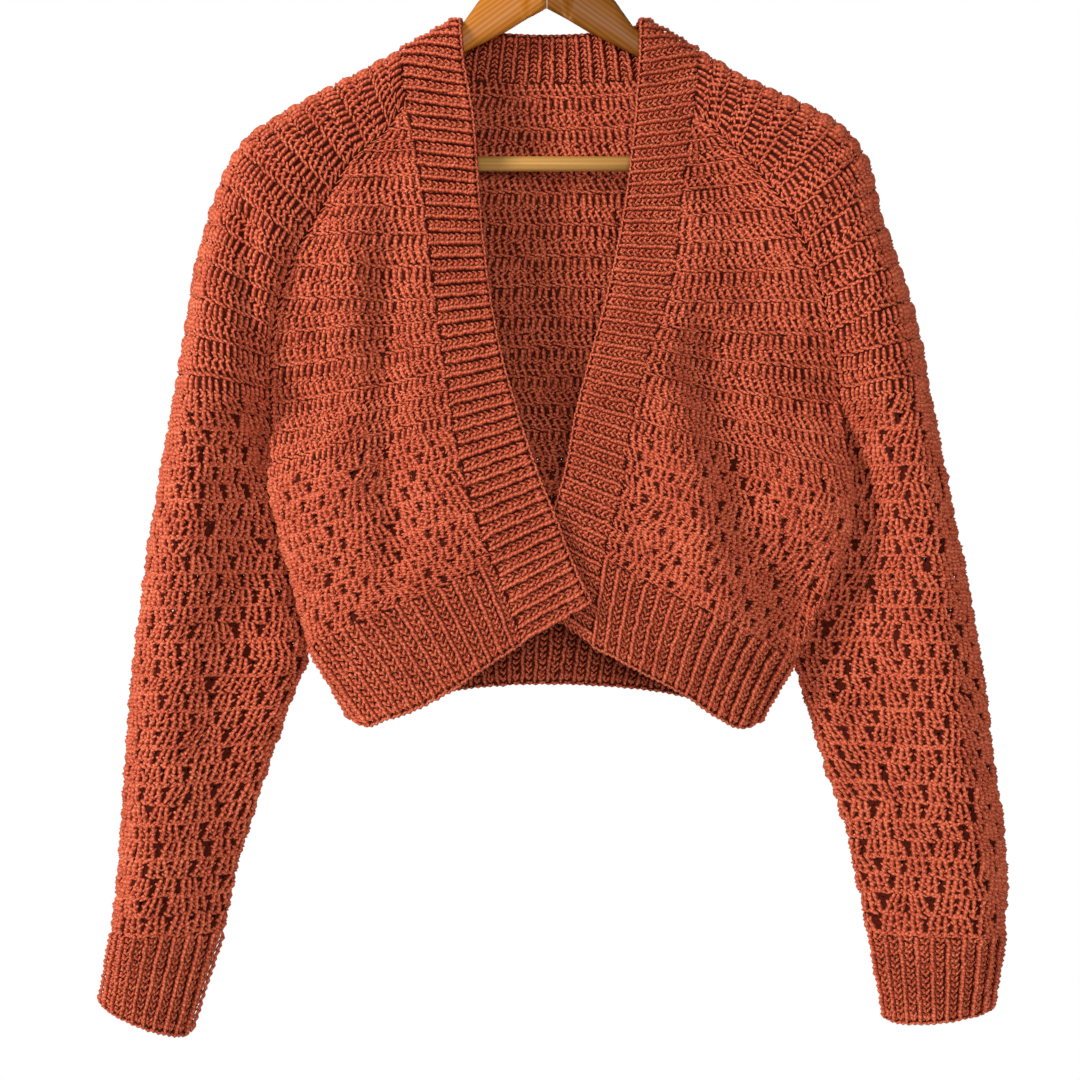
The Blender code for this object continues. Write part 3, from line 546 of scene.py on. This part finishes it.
# Lays one stitch at many places of a cloth, each a little different. Where the cloth's across runs
# leftwards as seen from outside, the stitch is turned round, so that all of them lean one way.
def lay(cloth, pattern, down, start, span, tall, loose=1.0):
    down, start, span, tall = (value[:, None] for value in np.broadcast_arrays(down, start, span, tall))
    count = len(down)
    shifts = chance.normal(0, STRAND_SHIFT, (count, pattern["strands"][-1] + 1, 3)) * loose
    corners = pattern["corners"] + shifts[:, pattern["strands"]]
    x = corners[..., 0] / pattern["width"]
    if not cloth["turned_over"]:
        x = 1 - x
    y = corners[..., 1] / pattern["height"]
    z = corners[..., 2]
    lean, aside, lower, lift, puff = (chance.normal(0, spread * loose, (count, 1)) for spread in UNEVEN)
    places, out = read_cloth(cloth, down + (y + lower) * tall, start + (x + aside + lean * (y - 0.5)) * span)
    places = places + out * (z * (1 + puff) + lift)[..., None]
    faces = pattern["faces"][None] + (np.arange(count) * len(pattern["corners"]))[:, None, None]
    yarn = np.broadcast_to(pattern["yarn"], (count, *pattern["yarn"].shape)).copy()
    yarn[..., 0] += chance.uniform(0, 40, (count, 1, 1))
    return places.reshape(-1, 3), faces.reshape(-1, 4), yarn.reshape(-1, 4, 2)


# Joins laid stitches, or faces of bare cloth, into one object
def make_piece(name, layers, material):
    places = np.vstack([layer[0] for layer in layers]) * MM
    shifts = np.cumsum([0] + [len(layer[0]) for layer in layers[:-1]])
    mesh = bpy.data.meshes.new(name)
    mesh.vertices.add(len(places))
    mesh.vertices.foreach_set("co", places.ravel())
    loops = np.concatenate([(layer[1] + shift).ravel() for layer, shift in zip(layers, shifts)])
    sizes = np.concatenate([np.full(len(layer[1]), layer[1].shape[1]) for layer in layers])
    mesh.loops.add(len(loops))
    mesh.loops.foreach_set("vertex_index", loops)
    mesh.polygons.add(len(sizes))
    mesh.polygons.foreach_set("loop_start", np.cumsum(sizes) - sizes)
    yarn = mesh.uv_layers.new(name="yarn")
    yarn.data.foreach_set("uv", np.concatenate([layer[2].ravel() for layer in layers]))
    mesh.update(calc_edges=True)
    mesh.validate()
    return add_object(name, mesh, material)


# Plain cloth from one share of the rows to another, under stitches; ribs stand up from it as waves
def bare_cloth(cloth, low, high, rows, columns, ribs=0, rise=0.0, sink=0.0):
    down, across = grid(low, high, rows + 1, 0, 1, columns + 1)
    places, out = read_cloth(dict(cloth, closed=False), down, across)
    crest = 0.25 if cloth["turned_over"] else 0.75
    places = places - out * (sink - rise * np.cos(2 * math.pi * (ribs * across - crest)))[..., None]
    number = np.arange((rows + 1) * (columns + 1)).reshape(rows + 1, columns + 1)
    faces = np.stack([number[:-1, :-1], number[:-1, 1:], number[1:, 1:], number[1:, :-1]], axis=-1)
    faces = faces.reshape(-1, 4)
    if cloth["turned_over"]:
        faces = faces[:, ::-1]
    yarn = np.stack([across * columns * 6, down * 100], axis=-1).reshape(-1, 2)[faces]
    return places.reshape(-1, 3), faces, yarn


# Cloth under a row of shells: each cell has a real three-cornered hole at its top middle, which is
# the last three corners. Its size differs from cell to cell, and a few are a good deal larger.
HOLE_CORNERS = np.array([(-0.5, 0), (0, 0), (0.5, 0), (0.5, 1), (0, 1), (-0.5, 1),
                         (-0.13, 0.1), (0.13, 0.1), (0, 0.44)])
HOLE_FACES = np.array([(0, 6, 1), (1, 6, 7), (1, 7, 2), (0, 5, 6), (5, 8, 6), (5, 4, 8), (4, 3, 8),
                       (3, 7, 8), (3, 2, 7)])
HOLE_TOP = 0.1
HOLE_SIZES = (0.15, 0.75)
LARGE_SHARE = 0.06
LARGE_MORE = 0.3


def holed_cloth(cloth, down, tall, start, wide, openness):
    count = len(start)
    large = chance.uniform(*HOLE_SIZES, (count, 1)) + (chance.random((count, 1)) < LARGE_SHARE) * LARGE_MORE
    size = openness * large
    x = np.tile(HOLE_CORNERS[:, 0], (count, 1))
    y = np.tile(HOLE_CORNERS[:, 1], (count, 1))
    x[:, 6:] *= size
    y[:, 6:] = HOLE_TOP + (y[:, 6:] - HOLE_TOP) * size
    places, _ = read_cloth(cloth, down + y * tall, start[:, None] + x * wide)
    faces = (HOLE_FACES[None] + (np.arange(count) * len(HOLE_CORNERS))[:, None, None]).reshape(-1, 3)
    if not cloth["turned_over"]:
        faces = faces[:, ::-1]
    return places.reshape(-1, 3), faces, np.stack([x * 17, y * 12], axis=-1).reshape(-1, 2)[faces]


# Plain cloth beside the last hole of a row
def bare_strip(cloth, top, bottom, left, right):
    down = np.array([top, top, bottom, bottom])
    across = np.array([left, right, right, left])
    places, _ = read_cloth(cloth, down, across)
    face = np.array([[3, 2, 1, 0] if cloth["turned_over"] else [0, 1, 2, 3]])
    return places, face, np.stack([across * 100, down * 100], axis=-1)[face]


# Double crochet. Rows are turned at their ends, so two kinds take turns on each face: an upright
# row, whose chain shows as a zigzag below the posts, and a leaning row with a wrap between its
# posts, which ends in a furrow.
DC_WIDE = 5.3
DC_TALL = 11.9


def double_crochet(upright, inside=False):
    if upright:
        return stitch(DC_WIDE, DC_TALL, [
            ([(2.6, -0.3, 0.2), (2.6, 3.8, 1.3), (2.9, 8.2, 0.3)], 4.9, 3),
            ([(0, 7.2, 0.3), (1.8, 8.7, 1.4), (4.2, 10.2, 0.5)], 3.7, 2),
            ([(4.4, 9.7, 0.3), (2.6, 11.2, 1.1), (0.3, 12.5, 0.2)], 3.5, 2),
        ], inside)
    return stitch(DC_WIDE, DC_TALL, [
        ([(0.7, -0.2, 0.2), (2.6, 4.2, 1.3), (4.7, 9.0, 0.3)], 4.8, 3),
        ([(-0.7, 5.6, 0.2), (1.1, 4.4, 1.6), (2.9, 2.4, 0.4)], 3.0, 2),
        ([(-0.5, 8.9, 0.2), (2.4, 9.8, 1.2), (5.7, 10.7, 0.3)], 3.6, 2),
    ], inside)


# Shell: three double crochets worked in one place, so that they stand like a fan
SHELL_WIDE = 17.5
SHELL_TALL = 12.9


def shell(upright, inside=False):
    strands = []
    for place in (-1, 0, 1):
        foot = SHELL_WIDE / 2 + place * 3.9
        middle = SHELL_WIDE / 2 + place * 5.0
        head = SHELL_WIDE / 2 + place * 6.0
        fall = -1.7 if place > 0 else 1.7
        strands += [
            ([(foot, -1.4, 0.2), ((foot + middle) / 2, 2.2, 1.2), (middle, 6.2, 0.5)], 5.4, 2),
            ([(middle, 4.6, 0.4), ((middle + head) / 2, 8.0, 1.4), (head, 11.4, 0.3)], 5.4, 2),
            ([(middle - 2.6, 5.4 - fall, 0.5), (middle, 5.4, 2.2), (middle + 2.6, 5.4 + fall, 0.5)], 3.8, 2)]
    for place in (0, 1, 2):
        x = place * SHELL_WIDE / 3
        strands.append(([(x - 0.4, 10.1, 0.2), (x + 2.7, 11.4, 1.1), (x + 6.1, 12.5, 0.2)], 4.4, 2))
        if upright:
            strands.append(([(x + 0.2, 13.4, 0.0), (x + 2.8, 12.3, 0.9), (x + 5.4, 11.0, 0.0)], 3.8, 2))
    return stitch(SHELL_WIDE, SHELL_TALL, strands, inside)


# Rows of double crochet down to a share of the cloth; on the inside each shows as the other kind
def lay_double_crochet(cloth, rows, high, open_low=0.0, open_high=0.0, both_faces=True):
    layers = []
    tall = high / rows
    for number in range(rows):
        start, span = row_places(cloth, 1 / tall, number, DC_WIDE, open_low, open_high)
        patterns = [double_crochet(number % 2 == 0)]
        if both_faces:
            patterns.append(double_crochet(number % 2 == 1, inside=True))
        for pattern in patterns:
            layers.append(lay(cloth, pattern, number * tall, start, span, tall))
    return layers


# Rows of shells from a share of the cloth to its end, and the holed cloth under them. Every second
# row is shifted by half a shell, and on a flat piece double crochets fill up its ends.
def lay_shells(cloth, rows, low, openness=1.0, both_faces=True):
    layers = []
    cells = []
    tall = (1 - low) / rows
    for number in range(rows):
        start, wide = row_places(cloth, 1 / tall, low / tall + number, SHELL_WIDE)
        down = low + number * tall
        shifted = number % 2 == 1
        if cloth["closed"]:
            start = start + shifted * wide / 2
            holes = start
        elif shifted:
            start = start[:-1] + wide / 2
            holes = np.append(start, 1 - wide / 2)
        else:
            holes = start[1:]
        for inside in (False, True) if both_faces else (False,):
            layers.append(lay(cloth, shell(shifted, inside), down, start, wide, tall, loose=1.2))
            if shifted and not cloth["closed"]:
                ends = np.array([0, wide / 4, 1 - wide / 2, 1 - wide / 4])
                layers.append(lay(cloth, double_crochet(inside, inside), down, ends, wide / 4, tall))
        cells.append(holed_cloth(cloth, down, tall, holes, wide, openness))
        if not cloth["closed"]:
            for left, right in ((0, holes[0] - wide / 2), (holes[-1] + wide / 2, 1)):
                if right - left > 1e-6:
                    cells.append(bare_strip(cloth, down, down + tall, left, right))
    return layers, cells


# Cotton yarn, combed and dyed rust: three plies twist round each other, and fine noise gives soft bright
# streaks on the smooth fibres, partly random tone and partly painted glints. Both are drawn coarser than
# real, one turn in 9 mm for 5, so that they show. Shade and light are painted into the colour: the
# grooves between the plies and the sides of each strand are darker than its top, as painted shade, and
# the ramp's light end is a painted highlight.
YARN_TURN = 9
YARN_PLIES = 3


def add_yarn(name, groove, middle, light):
    cotton, shader = new_material(name)
    along = add_node(cotton, "ShaderNodeUVMap", {"uv_map": "yarn"})
    parts = add_node(cotton, "ShaderNodeSeparateXYZ", {"Vector": along})
    round_it = add_math(cotton, "MULTIPLY", parts.outputs["Y"], 2 * math.pi)
    twist = add_math(cotton, "MULTIPLY_ADD", parts.outputs["X"], 2 * math.pi * YARN_PLIES / YARN_TURN,
                     round_it)
    plies = add_math(cotton, "SINE", twist)
    # Painted shade: 1 on the strand's top and bottom, 0 at its sides, so that the sides come out darker
    crown = add_math(cotton, "ABSOLUTE", add_math(cotton, "COSINE", round_it))
    height = add_math(cotton, "MULTIPLY_ADD", plies, 0.13, add_noise(cotton, 750, 3, 0.6))
    # Ply grooves and strand sides painted darker, as painted shade, mixed with the fibre noise
    ply_and_side_painted_shade = add_math(cotton, "MULTIPLY_ADD", crown, 0.3, height)
    shade = add_math(cotton, "MULTIPLY_ADD", add_noise(cotton, 45, 2), 0.3, ply_and_side_painted_shade)
    # The ramp runs from painted shade in the grooves through the yarn's own rust to a painted highlight
    colour = add_ramp(cotton, add_math(cotton, "MULTIPLY", shade, 0.62),
                      [(0.3, groove), (0.53, middle), (0.8, light)])
    bump = add_node(cotton, "ShaderNodeBump", {"Strength": 0.7, "Distance": 0.0008, "Height": height})
    fill(cotton, shader, {"Base Color": colour, "Normal": bump, "Roughness": 0.72, "Specular IOR Level": 0.35,
                          "Sheen Weight": 0.25, "Sheen Roughness": 0.45, "Sheen Tint": linear("#EE8A60")})
    return cotton


# Colours: painted shade in the grooves, the yarn's own rust, and a painted highlight
yarn = add_yarn("cotton yarn, rust", "#5E190B", "#BA482A", "#F08C66")

# The inside of the yarn rows, deep between the stitches: the same cotton, dull, and painted dark as shade,
# since little light reaches there
inner, inner_shader = new_material("cotton yarn, rust, inside the stitches")
inner_fibres = add_noise(inner, 700, 3)
inner_painted_shade_colour = add_ramp(inner, inner_fibres, [(0.3, "#2C0A05"), (0.7, "#561A0E")])
inner_bump = add_node(inner, "ShaderNodeBump", {"Strength": 0.6, "Distance": 0.0008, "Height": inner_fibres})
fill(inner, inner_shader, {"Base Color": inner_painted_shade_colour, "Normal": inner_bump, "Roughness": 0.95,
                           "Specular IOR Level": 0.1})


# A crocheted piece's cloth, in the inside material painted dark as shade, then its double crochet and its
# shells
def make_knit(name, cloth, upper, lower):
    return [make_piece(name + "_cloth", cloth, inner),
            make_piece(name + "_double_crochet", upper, yarn),
            make_piece(name + "_shells", lower, yarn)]


NET_ROWS = 361
RAGLAN_GAP = 1.5        # room left for the raglan line's stitches, mm
plain_end = PLAIN_ROWS / BODY_ROWS
back_surface = surface(back_point(*grid(0, BODY_ROWS, NET_ROWS, -1, 1, 401)))
shells, cells = lay_shells(back_surface, BODY_ROWS - PLAIN_ROWS, plain_end, 0.4)
back_cloth, *back_stitches = make_knit(
    "back", [bare_cloth(back_surface, -0.012, plain_end, 50, 60), *cells],
    lay_double_crochet(back_surface, PLAIN_ROWS, plain_end, RAGLAN_GAP, RAGLAN_GAP), shells)
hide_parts("back")


# Fronts
# Two fronts, worked on from the back's rows without a side seam. Each is narrow at the shoulder
# and widens along its raglan line. They hang open in a deep V, with soft folds.
SAG_ROWS = (10, 22)     # between these rows the front's rows begin to sag away from the band
SAG_POWER = 1.6
BULGE_ROWS = (2, 12)
FRONT_BULGE = 4         # how far the front stands out between its edges, mm


# A front: row from the neck down, across from 0 at the band to 1 at the raglan and side
def front_point(side, row, across):
    station = smooth(FRONT_EDGES[side][:, :2], row)[..., 0]
    sewn = band_sewn_edge(station)
    turned = ease(*SIDE_TURN, row)
    quarter = across * math.pi / 2
    sideways = across + (np.sin(quarter) - across) * turned
    backwards = across + (1 - np.cos(quarter) ** SIDE_POWER - across) * turned
    sagging = 1 - (1 - across) ** SAG_POWER
    downwards = across + (sagging - across) * ease(*SAG_ROWS, row)
    points = sewn + (outer_edge(side, row) - sewn) * np.stack([sideways, backwards, downwards], axis=-1)
    points[..., 1] -= FRONT_BULGE * np.sin(math.pi * across) * ease(*BULGE_ROWS, row)
    return add_folds("front_" + side, points, ease(0, 0.25, across) * ease(0, 0.25, 1 - across))


front_surfaces = {}
for side in ("right", "left"):
    front = surface(front_point(side, *grid(0, BODY_ROWS, NET_ROWS, 0, 1, 201)), side == "left")
    front_surfaces[side] = front
    shells, cells = lay_shells(front, BODY_ROWS - PLAIN_ROWS, plain_end)
    cloth, *stitches = make_knit(f"front_{side}", [bare_cloth(front, 0, plain_end, 50, 24), *cells],
                                 lay_double_crochet(front, PLAIN_ROWS, plain_end, 0, RAGLAN_GAP), shells)
    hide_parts("front_" + side)


# Sleeves
# Raglan sleeves, worked round from the yoke down: 23 rows of double crochet to the underarm and
# 30 rows of shells below it. They hang flat and empty, bowed outwards over the hanger's ends.
SLEEVE_ROWS = 46        # on the body's count
SLEEVE_PLAIN_ROWS = 23
SLEEVE_SHELL_ROWS = 30
CAP_ROWS = (2, 18)      # between these rows the cap's open curve closes to a flat tube
CAP_MATCH_ROWS = 2.5    # over these rows the sleeve leaves the band's line for its own
SHOULDER_STATION = 11   # the band's station at the sleeve's middle
CAP_REACH_FRONT = 4.3   # stations from the front raglan to the back one, if all went as in the front
CAP_REACH_BACK = 2.3    # the same for the back half

# The sleeves' outer line: row, x, y, z; the first row lies on the band over the shoulder
SLEEVE_OUTER = {
    "right": np.array([
        (0, -107, 1, -131.5), (1.5, -128, 0, -143), (3.6, -158, 0, -159), (5.9, -191, 0, -177),
        (7.7, -216, 0, -194), (9.7, -234, 0, -220), (11.5, -244, 0, -248), (13.9, -255, 0, -286),
        (16.7, -262, 0, -330), (20, -271, 0, -384), (25, -284, 0, -459), (28, -291, 0, -504),
        (33, -301, 0, -576), (38, -307, 0, -650), (41, -310, 0, -697), (46, -317, 0, -774)]),
    "left": np.array([
        (0, 111, 1, -131.5), (1.65, 134, 0, -146), (3.7, 164, 0, -161), (5.3, 188, 0, -172),
        (7.1, 214, 0, -187), (9.2, 234, 0, -215), (11.5, 243, 0, -252), (13.5, 254, 0, -283),
        (15.5, 264, 0, -314), (17.8, 273, 0, -350), (20, 279, 0, -384), (25, 293, 0, -459),
        (28, 303, 0, -504), (33, 316, 0, -576), (38, 326, 0, -650), (42, 334, 0, -712),
        (46, 334, 0, -775)]),
}

# The sleeves' inner line below the underarm, which hangs behind the body's side: row, x, y, z
SLEEVE_INNER = {
    "right": np.array([
        (20, -202, -4, -391), (21, -200, 8, -402), (22, -197, 17, -414),
        (23.5, -193, 24, -437), (25, -189, 28, -459), (28, -184, 29, -504),
        (31, -179, 25, -545), (33, -177, 17, -576), (35, -187, 9, -603), (38, -202, 2, -648),
        (41, -218, 0, -697), (44, -230, 0, -742), (46, -237, 0, -775)]),
    "left": np.array([
        (20, 215, -4, -391), (21, 214, 8, -402), (22, 213, 17, -414),
        (23.5, 211, 24, -437), (25, 208, 28, -459), (28, 200, 29, -504),
        (31, 188, 25, -545), (33, 183, 17, -576), (35, 189, 9, -603), (38, 202, 2, -648),
        (41, 218, 0, -697), (44, 228, 0, -742), (46, 234, 0, -776)]),
}

# How far the sleeves stand out to the front and the back of that line: row, front, back
SLEEVE_FULLNESS = np.array([(0, 0, 0), (3, 4, 4), (6, 9, 8), (9, 18, 14), (12, 24, 20), (16, 31, 30),
                            (20, 35, 38), (24, 34, 36), (28, 31, 30), (33, 24, 22), (38, 22, 21),
                            (46, 19, 19)], dtype=float)


# A sleeve: around from 0 at the front raglan over 0.5 at the outer line to 1 at the back raglan;
# below the underarm both raglan edges are the inner line
def sleeve_plain(side, row, around):
    front = around <= 0.5
    part = np.where(front, around * 2, (1 - around) * 2)
    inner_line = smooth(SLEEVE_INNER[side], np.maximum(row, UNDERARM_ROW))
    raglan_line = np.where(front[..., None], outer_edge(side, row), back_edge(side, row))
    start = np.where((row > UNDERARM_ROW)[..., None], inner_line, raglan_line)
    outer = smooth(SLEEVE_OUTER[side], row)
    closed = ease(*CAP_ROWS, row)
    half = (1 - np.cos(math.pi * part)) / 2
    quarter = part * math.pi / 2
    share = np.sin(quarter) + (half - np.sin(quarter)) * closed
    share_y = (1 - np.cos(quarter)) + (half - 1 + np.cos(quarter)) * closed
    points = start + (outer - start) * np.stack([share, share_y, share], axis=-1)
    fullness = smooth(SLEEVE_FULLNESS, row)
    points[..., 1] += np.where(front, -fullness[..., 0], fullness[..., 1]) * np.sin(math.pi * part)
    return add_folds("sleeve_" + side, points,
                     front * ease(0, 0.15, part) * ease(0, 0.35, 1 - part) * ease(4, 8, row))


# The band's station beside a place on the sleeve's top edge
def sleeve_station(side, around):
    station = SHOULDER_STATION - (0.5 - around) * np.where(around <= 0.5, CAP_REACH_FRONT, CAP_REACH_BACK)
    return station if side == "right" else 2 * BACK_STATION - station


def sleeve_point(side, row, around):
    top = band_sewn_edge(sleeve_station(side, around))
    first = sleeve_plain(side, np.zeros_like(row), around)
    return sleeve_plain(side, row, around) + (top - first) * (1 - ease(0, CAP_MATCH_ROWS, row))[..., None]


# The raglan lines: where a sleeve meets the front and the back, the increases stand in pairs on
# a narrow strip over both edges. Every row of the strip is taken from the two cloths it joins.
RAGLAN_HALF = 3.6
RAGLAN_TALL = 6.0
raglan_loop = stitch(2 * RAGLAN_HALF, RAGLAN_TALL, [
    ([(-0.5, -0.8, 0.0), (1.6, 1.8, 1.2), (3.3, 4.8, 0.7)], 3.0, 2),
    ([(7.7, -0.8, 0.0), (5.6, 1.8, 1.2), (3.9, 4.8, 0.7)], 3.0, 2),
])


def near_edge(cloth, down, at_end, inset):
    part = inset / np.maximum(width_at(cloth, down), RAGLAN_HALF)
    return read_cloth(cloth, down, 1 - part if at_end else part)[0]


def raglan(first, first_down, first_end, second, second_down, second_end, turned_over):
    insets = (RAGLAN_HALF, RAGLAN_HALF / 2, 0)
    ours = [near_edge(first, first_down, first_end, inset) for inset in insets]
    theirs = [near_edge(second, second_down, second_end, inset) for inset in reversed(insets)]
    net = np.stack([*ours[:2], (ours[2] + theirs[0]) / 2, *theirs[1:]], axis=1)
    strip = surface(net, turned_over, depth=0)
    long = np.linalg.norm(np.diff(net[:, 2], axis=0), axis=1).sum()
    count = round(long / RAGLAN_TALL)
    loops = lay(strip, raglan_loop, np.arange(count) / count, 0, 1, 1 / count, loose=0.8)
    return bare_cloth(strip, 0, 1, 40, 2, sink=0.7), loops


for side in ("right", "left"):
    left = side == "left"
    cap = surface(sleeve_point(side, *grid(0, UNDERARM_ROW, 231, 0, 1, 241)), left)
    rows, columns = grid(UNDERARM_ROW, SLEEVE_ROWS, 301, 0, 1, 241)
    tube = surface(sleeve_point(side, rows + 1e-6, columns), left, closed=True)
    shells, cells = lay_shells(tube, SLEEVE_SHELL_ROWS, 0, 0.8, both_faces=False)
    raglan_rows = np.linspace(0.4, UNDERARM_ROW, 121)
    on_body = raglan_rows / BODY_ROWS
    on_cap = raglan_rows / UNDERARM_ROW
    front_base, front_line = raglan(front_surfaces[side], on_body, True, cap, on_cap, False, left)
    back_base, back_line = raglan(cap, on_cap, True, back_surface, on_body, left, left)
    plain = lay_double_crochet(cap, SLEEVE_PLAIN_ROWS, 1, RAGLAN_GAP, RAGLAN_GAP, both_faces=False)
    cloth, *stitches = make_knit(f"sleeve_{side}",
                                 [bare_cloth(cap, 0, 1, 46, 40), *cells, front_base, back_base],
                                 [*plain, front_line, back_line], shells)
    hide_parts("sleeve_" + side)


# Hem rib
# A band of ribbing, worked sideways in short rows of single crochet through the back loops and
# joined to the body's last row. Its 67 ribs stand up as rounded cords on both faces.
# Lower edge of the hem rib: place (0 right band, 1 right side, 2 left side, 3 left band), x, y, z
HEM_EDGE = np.array([
    (0, -17, -50, -562), (0.2, -38, -49, -575), (0.4, -65, -46, -594), (0.6, -92, -40, -609),
    (0.8, -116, -31, -618), (0.93, -133, -20, -623), (1, -143, -7, -618), (1.05, -140, 5, -614),
    (1.18, -112, 19, -607), (1.32, -72, 26, -600), (1.5, 2, 30, -595), (1.68, 78, 26, -600),
    (1.82, 120, 19, -608), (1.95, 152, 5, -615), (2, 155, -7, -619), (2.1, 143, -20, -625),
    (2.25, 124, -29, -617), (2.45, 99, -36, -600), (2.65, 74, -40, -587), (2.85, 50, -42, -574),
    (3, 31, -41, -564)])
RIB_WIDE = 9.6
LOOP_TALL = 5.0
RIB_ROWS = 14           # loops along a rib of the hem and the cuffs
HEM_RIBS = 67
# Its colours, as for the yarn above: painted shade in the grooves, the yarn's own rust, a painted highlight
rib_yarn = add_yarn("cotton yarn, rust, ribs", "#5E190B", "#B64628", "#EE8862")


# One loop of a rib, seen from one face: a smooth raised line of yarn along the rib, then two rows
# of small slanting grains that lie lower, and a groove. The other face is the same, turned round.
def rib_loop(inside):
    return stitch(RIB_WIDE, LOOP_TALL, [
        ([(1.9, -1.2, 1.6), (1.8, 1.6, 2.9), (2.2, 6.0, 1.6)], 4.2, 2),
        ([(4, 0.0, -0.2), (5, 2.0, 0.9), (6.5, 4.0, -0.2)], 3.7, 2),
        ([(8.9, 0.6, -0.7), (7.8, 2.6, 0.3), (6.4, 4.6, -0.6)], 3.5, 2),
    ], inside)


# The edge that closes the ribs: two short arches of yarn over each rib's end
edge_loop = stitch(RIB_WIDE, LOOP_TALL, [
    ([(-0.7, 0.2, 0.0), (2.4, 1.2, 0.4), (5.5, 0.2, 0.0)], 3.6, 2),
    ([(4.1, 0.2, 0.0), (7.2, 1.2, 0.4), (10.3, 0.2, 0.0)], 3.6, 2),
])


# All loops of a ribbed piece on both faces, then the edge along its ribs' ends
def lay_ribs(cloth, ribs, loops):
    number, step = np.meshgrid(np.arange(ribs), np.arange(loops), indexing="ij")
    tall = 1 / loops
    down = step.ravel() * tall + (number.ravel() % 2) * tall * 0.4
    down = np.clip(down, -0.2 * tall, 1 - 1.4 * tall)
    return [*(lay(cloth, rib_loop(inside), down, number.ravel() / ribs, 1 / ribs, tall, loose=0.6)
              for inside in (False, True)),
            lay(cloth, edge_loop, 1 - 0.2 * tall, np.arange(ribs) / ribs, 1 / ribs, tall, loose=0.5)]


# A ribbed piece's cloth, in the inside material painted dark as shade, and its loops
def make_ribbing(name, cloth, ribs, loops, rows=8):
    return (make_piece(name + "_cloth", [bare_cloth(cloth, 0, 1, rows, ribs * 4, ribs, 1.4, 0.6)],
                       inner),
            make_piece(name + "_loops", lay_ribs(cloth, ribs, loops), rib_yarn))


right_part = np.linspace(0, 1, 91)
back_part = np.linspace(1, 2, 223)[1:]
left_part = np.linspace(2, 3, 91)[1:]
places = np.concatenate([right_part, back_part, left_part])
body_end = np.array([float(BODY_ROWS)])
hem_top = np.vstack([front_point("right", body_end, right_part), back_point(body_end, 2 * (back_part - 1.5)),
                     front_point("left", body_end, 3 - left_part)])
hem_net = between(hem_top, smooth(HEM_EDGE, places), 21)
shares = np.linspace(0, 1, 21)
right_station = FRONT_EDGES["right"][-1, 1]
left_station = FRONT_EDGES["left"][-1, 1]
right_end = band_sewn_edge(right_station * (1 - shares))
left_end = band_sewn_edge(left_station + (LAST_STATION - left_station) * shares)
hem_net += (right_end - hem_net[:, 0])[:, None] * (1 - ease(0, 0.3, places))[:, None]
hem_net += (left_end - hem_net[:, -1])[:, None] * ease(2.7, 3, places)[:, None]
hem_cloth, hem_loops = make_ribbing("hem_rib", surface(hem_net), HEM_RIBS, RIB_ROWS)
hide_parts("hem_rib")


# Cuffs
# The same ribbing on each sleeve, worked round in 20 ribs. It draws the sleeve's end in a little
# and hangs flat; the left one ends in a slight step where its rows were joined.
# Cuff opening: x, z of the outer and the inner point, half depth
CUFF_OPENING = {"right": (-326, -826, -261, -849, 17), "left": (326, -829, 247, -838, 18)}
CUFF_RIBS = 20
CUFF_DIP = 4            # how far the opening hangs lower in the middle of each face, mm
for side in ("right", "left"):
    around = np.linspace(0, 1, 161)
    top = sleeve_point(side, np.array([float(SLEEVE_ROWS)]), around)
    outer_x, outer_z, inner_x, inner_z, half_depth = CUFF_OPENING[side]
    part = np.where(around <= 0.5, around * 2, (1 - around) * 2)
    share = (1 - np.cos(math.pi * part)) / 2
    stand = np.where(around <= 0.5, -1, 1) * np.sin(math.pi * part)
    bottom = np.stack([inner_x + (outer_x - inner_x) * share, half_depth * stand,
                       inner_z + (outer_z - inner_z) * share - CUFF_DIP * np.sin(math.pi * part)], axis=-1)
    cuff_surface = surface(between(top, bottom, 21), side == "left", closed=True)
    cloth, loops = make_ribbing(f"cuff_{side}", cuff_surface, CUFF_RIBS, RIB_ROWS, rows=10)
    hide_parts("cuff_" + side)


# Band
# One long strip of the same ribbing, worked across in 117 ribs and sewn on from the right
# front's lower corner, up round the neck and down to the left front's corner.
BAND_RIBS = 117
BAND_LOOPS = 10         # along each rib, as the band is narrower than the hem
fine = np.linspace(0, LAST_STATION, 2401)
middle = (band_sewn_edge(fine) + band_free_edge(fine)) / 2
length = np.concatenate([[0], np.cumsum(np.linalg.norm(np.diff(middle, axis=0), axis=1))])
stations = np.interp(np.linspace(0, length[-1], 1201), length, fine)
band_net = between(band_sewn_edge(stations), band_free_edge(stations), 17)
band_cloth, band_loops = make_ribbing("band", surface(band_net, turned_over=True), BAND_RIBS, BAND_LOOPS)
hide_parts("band")
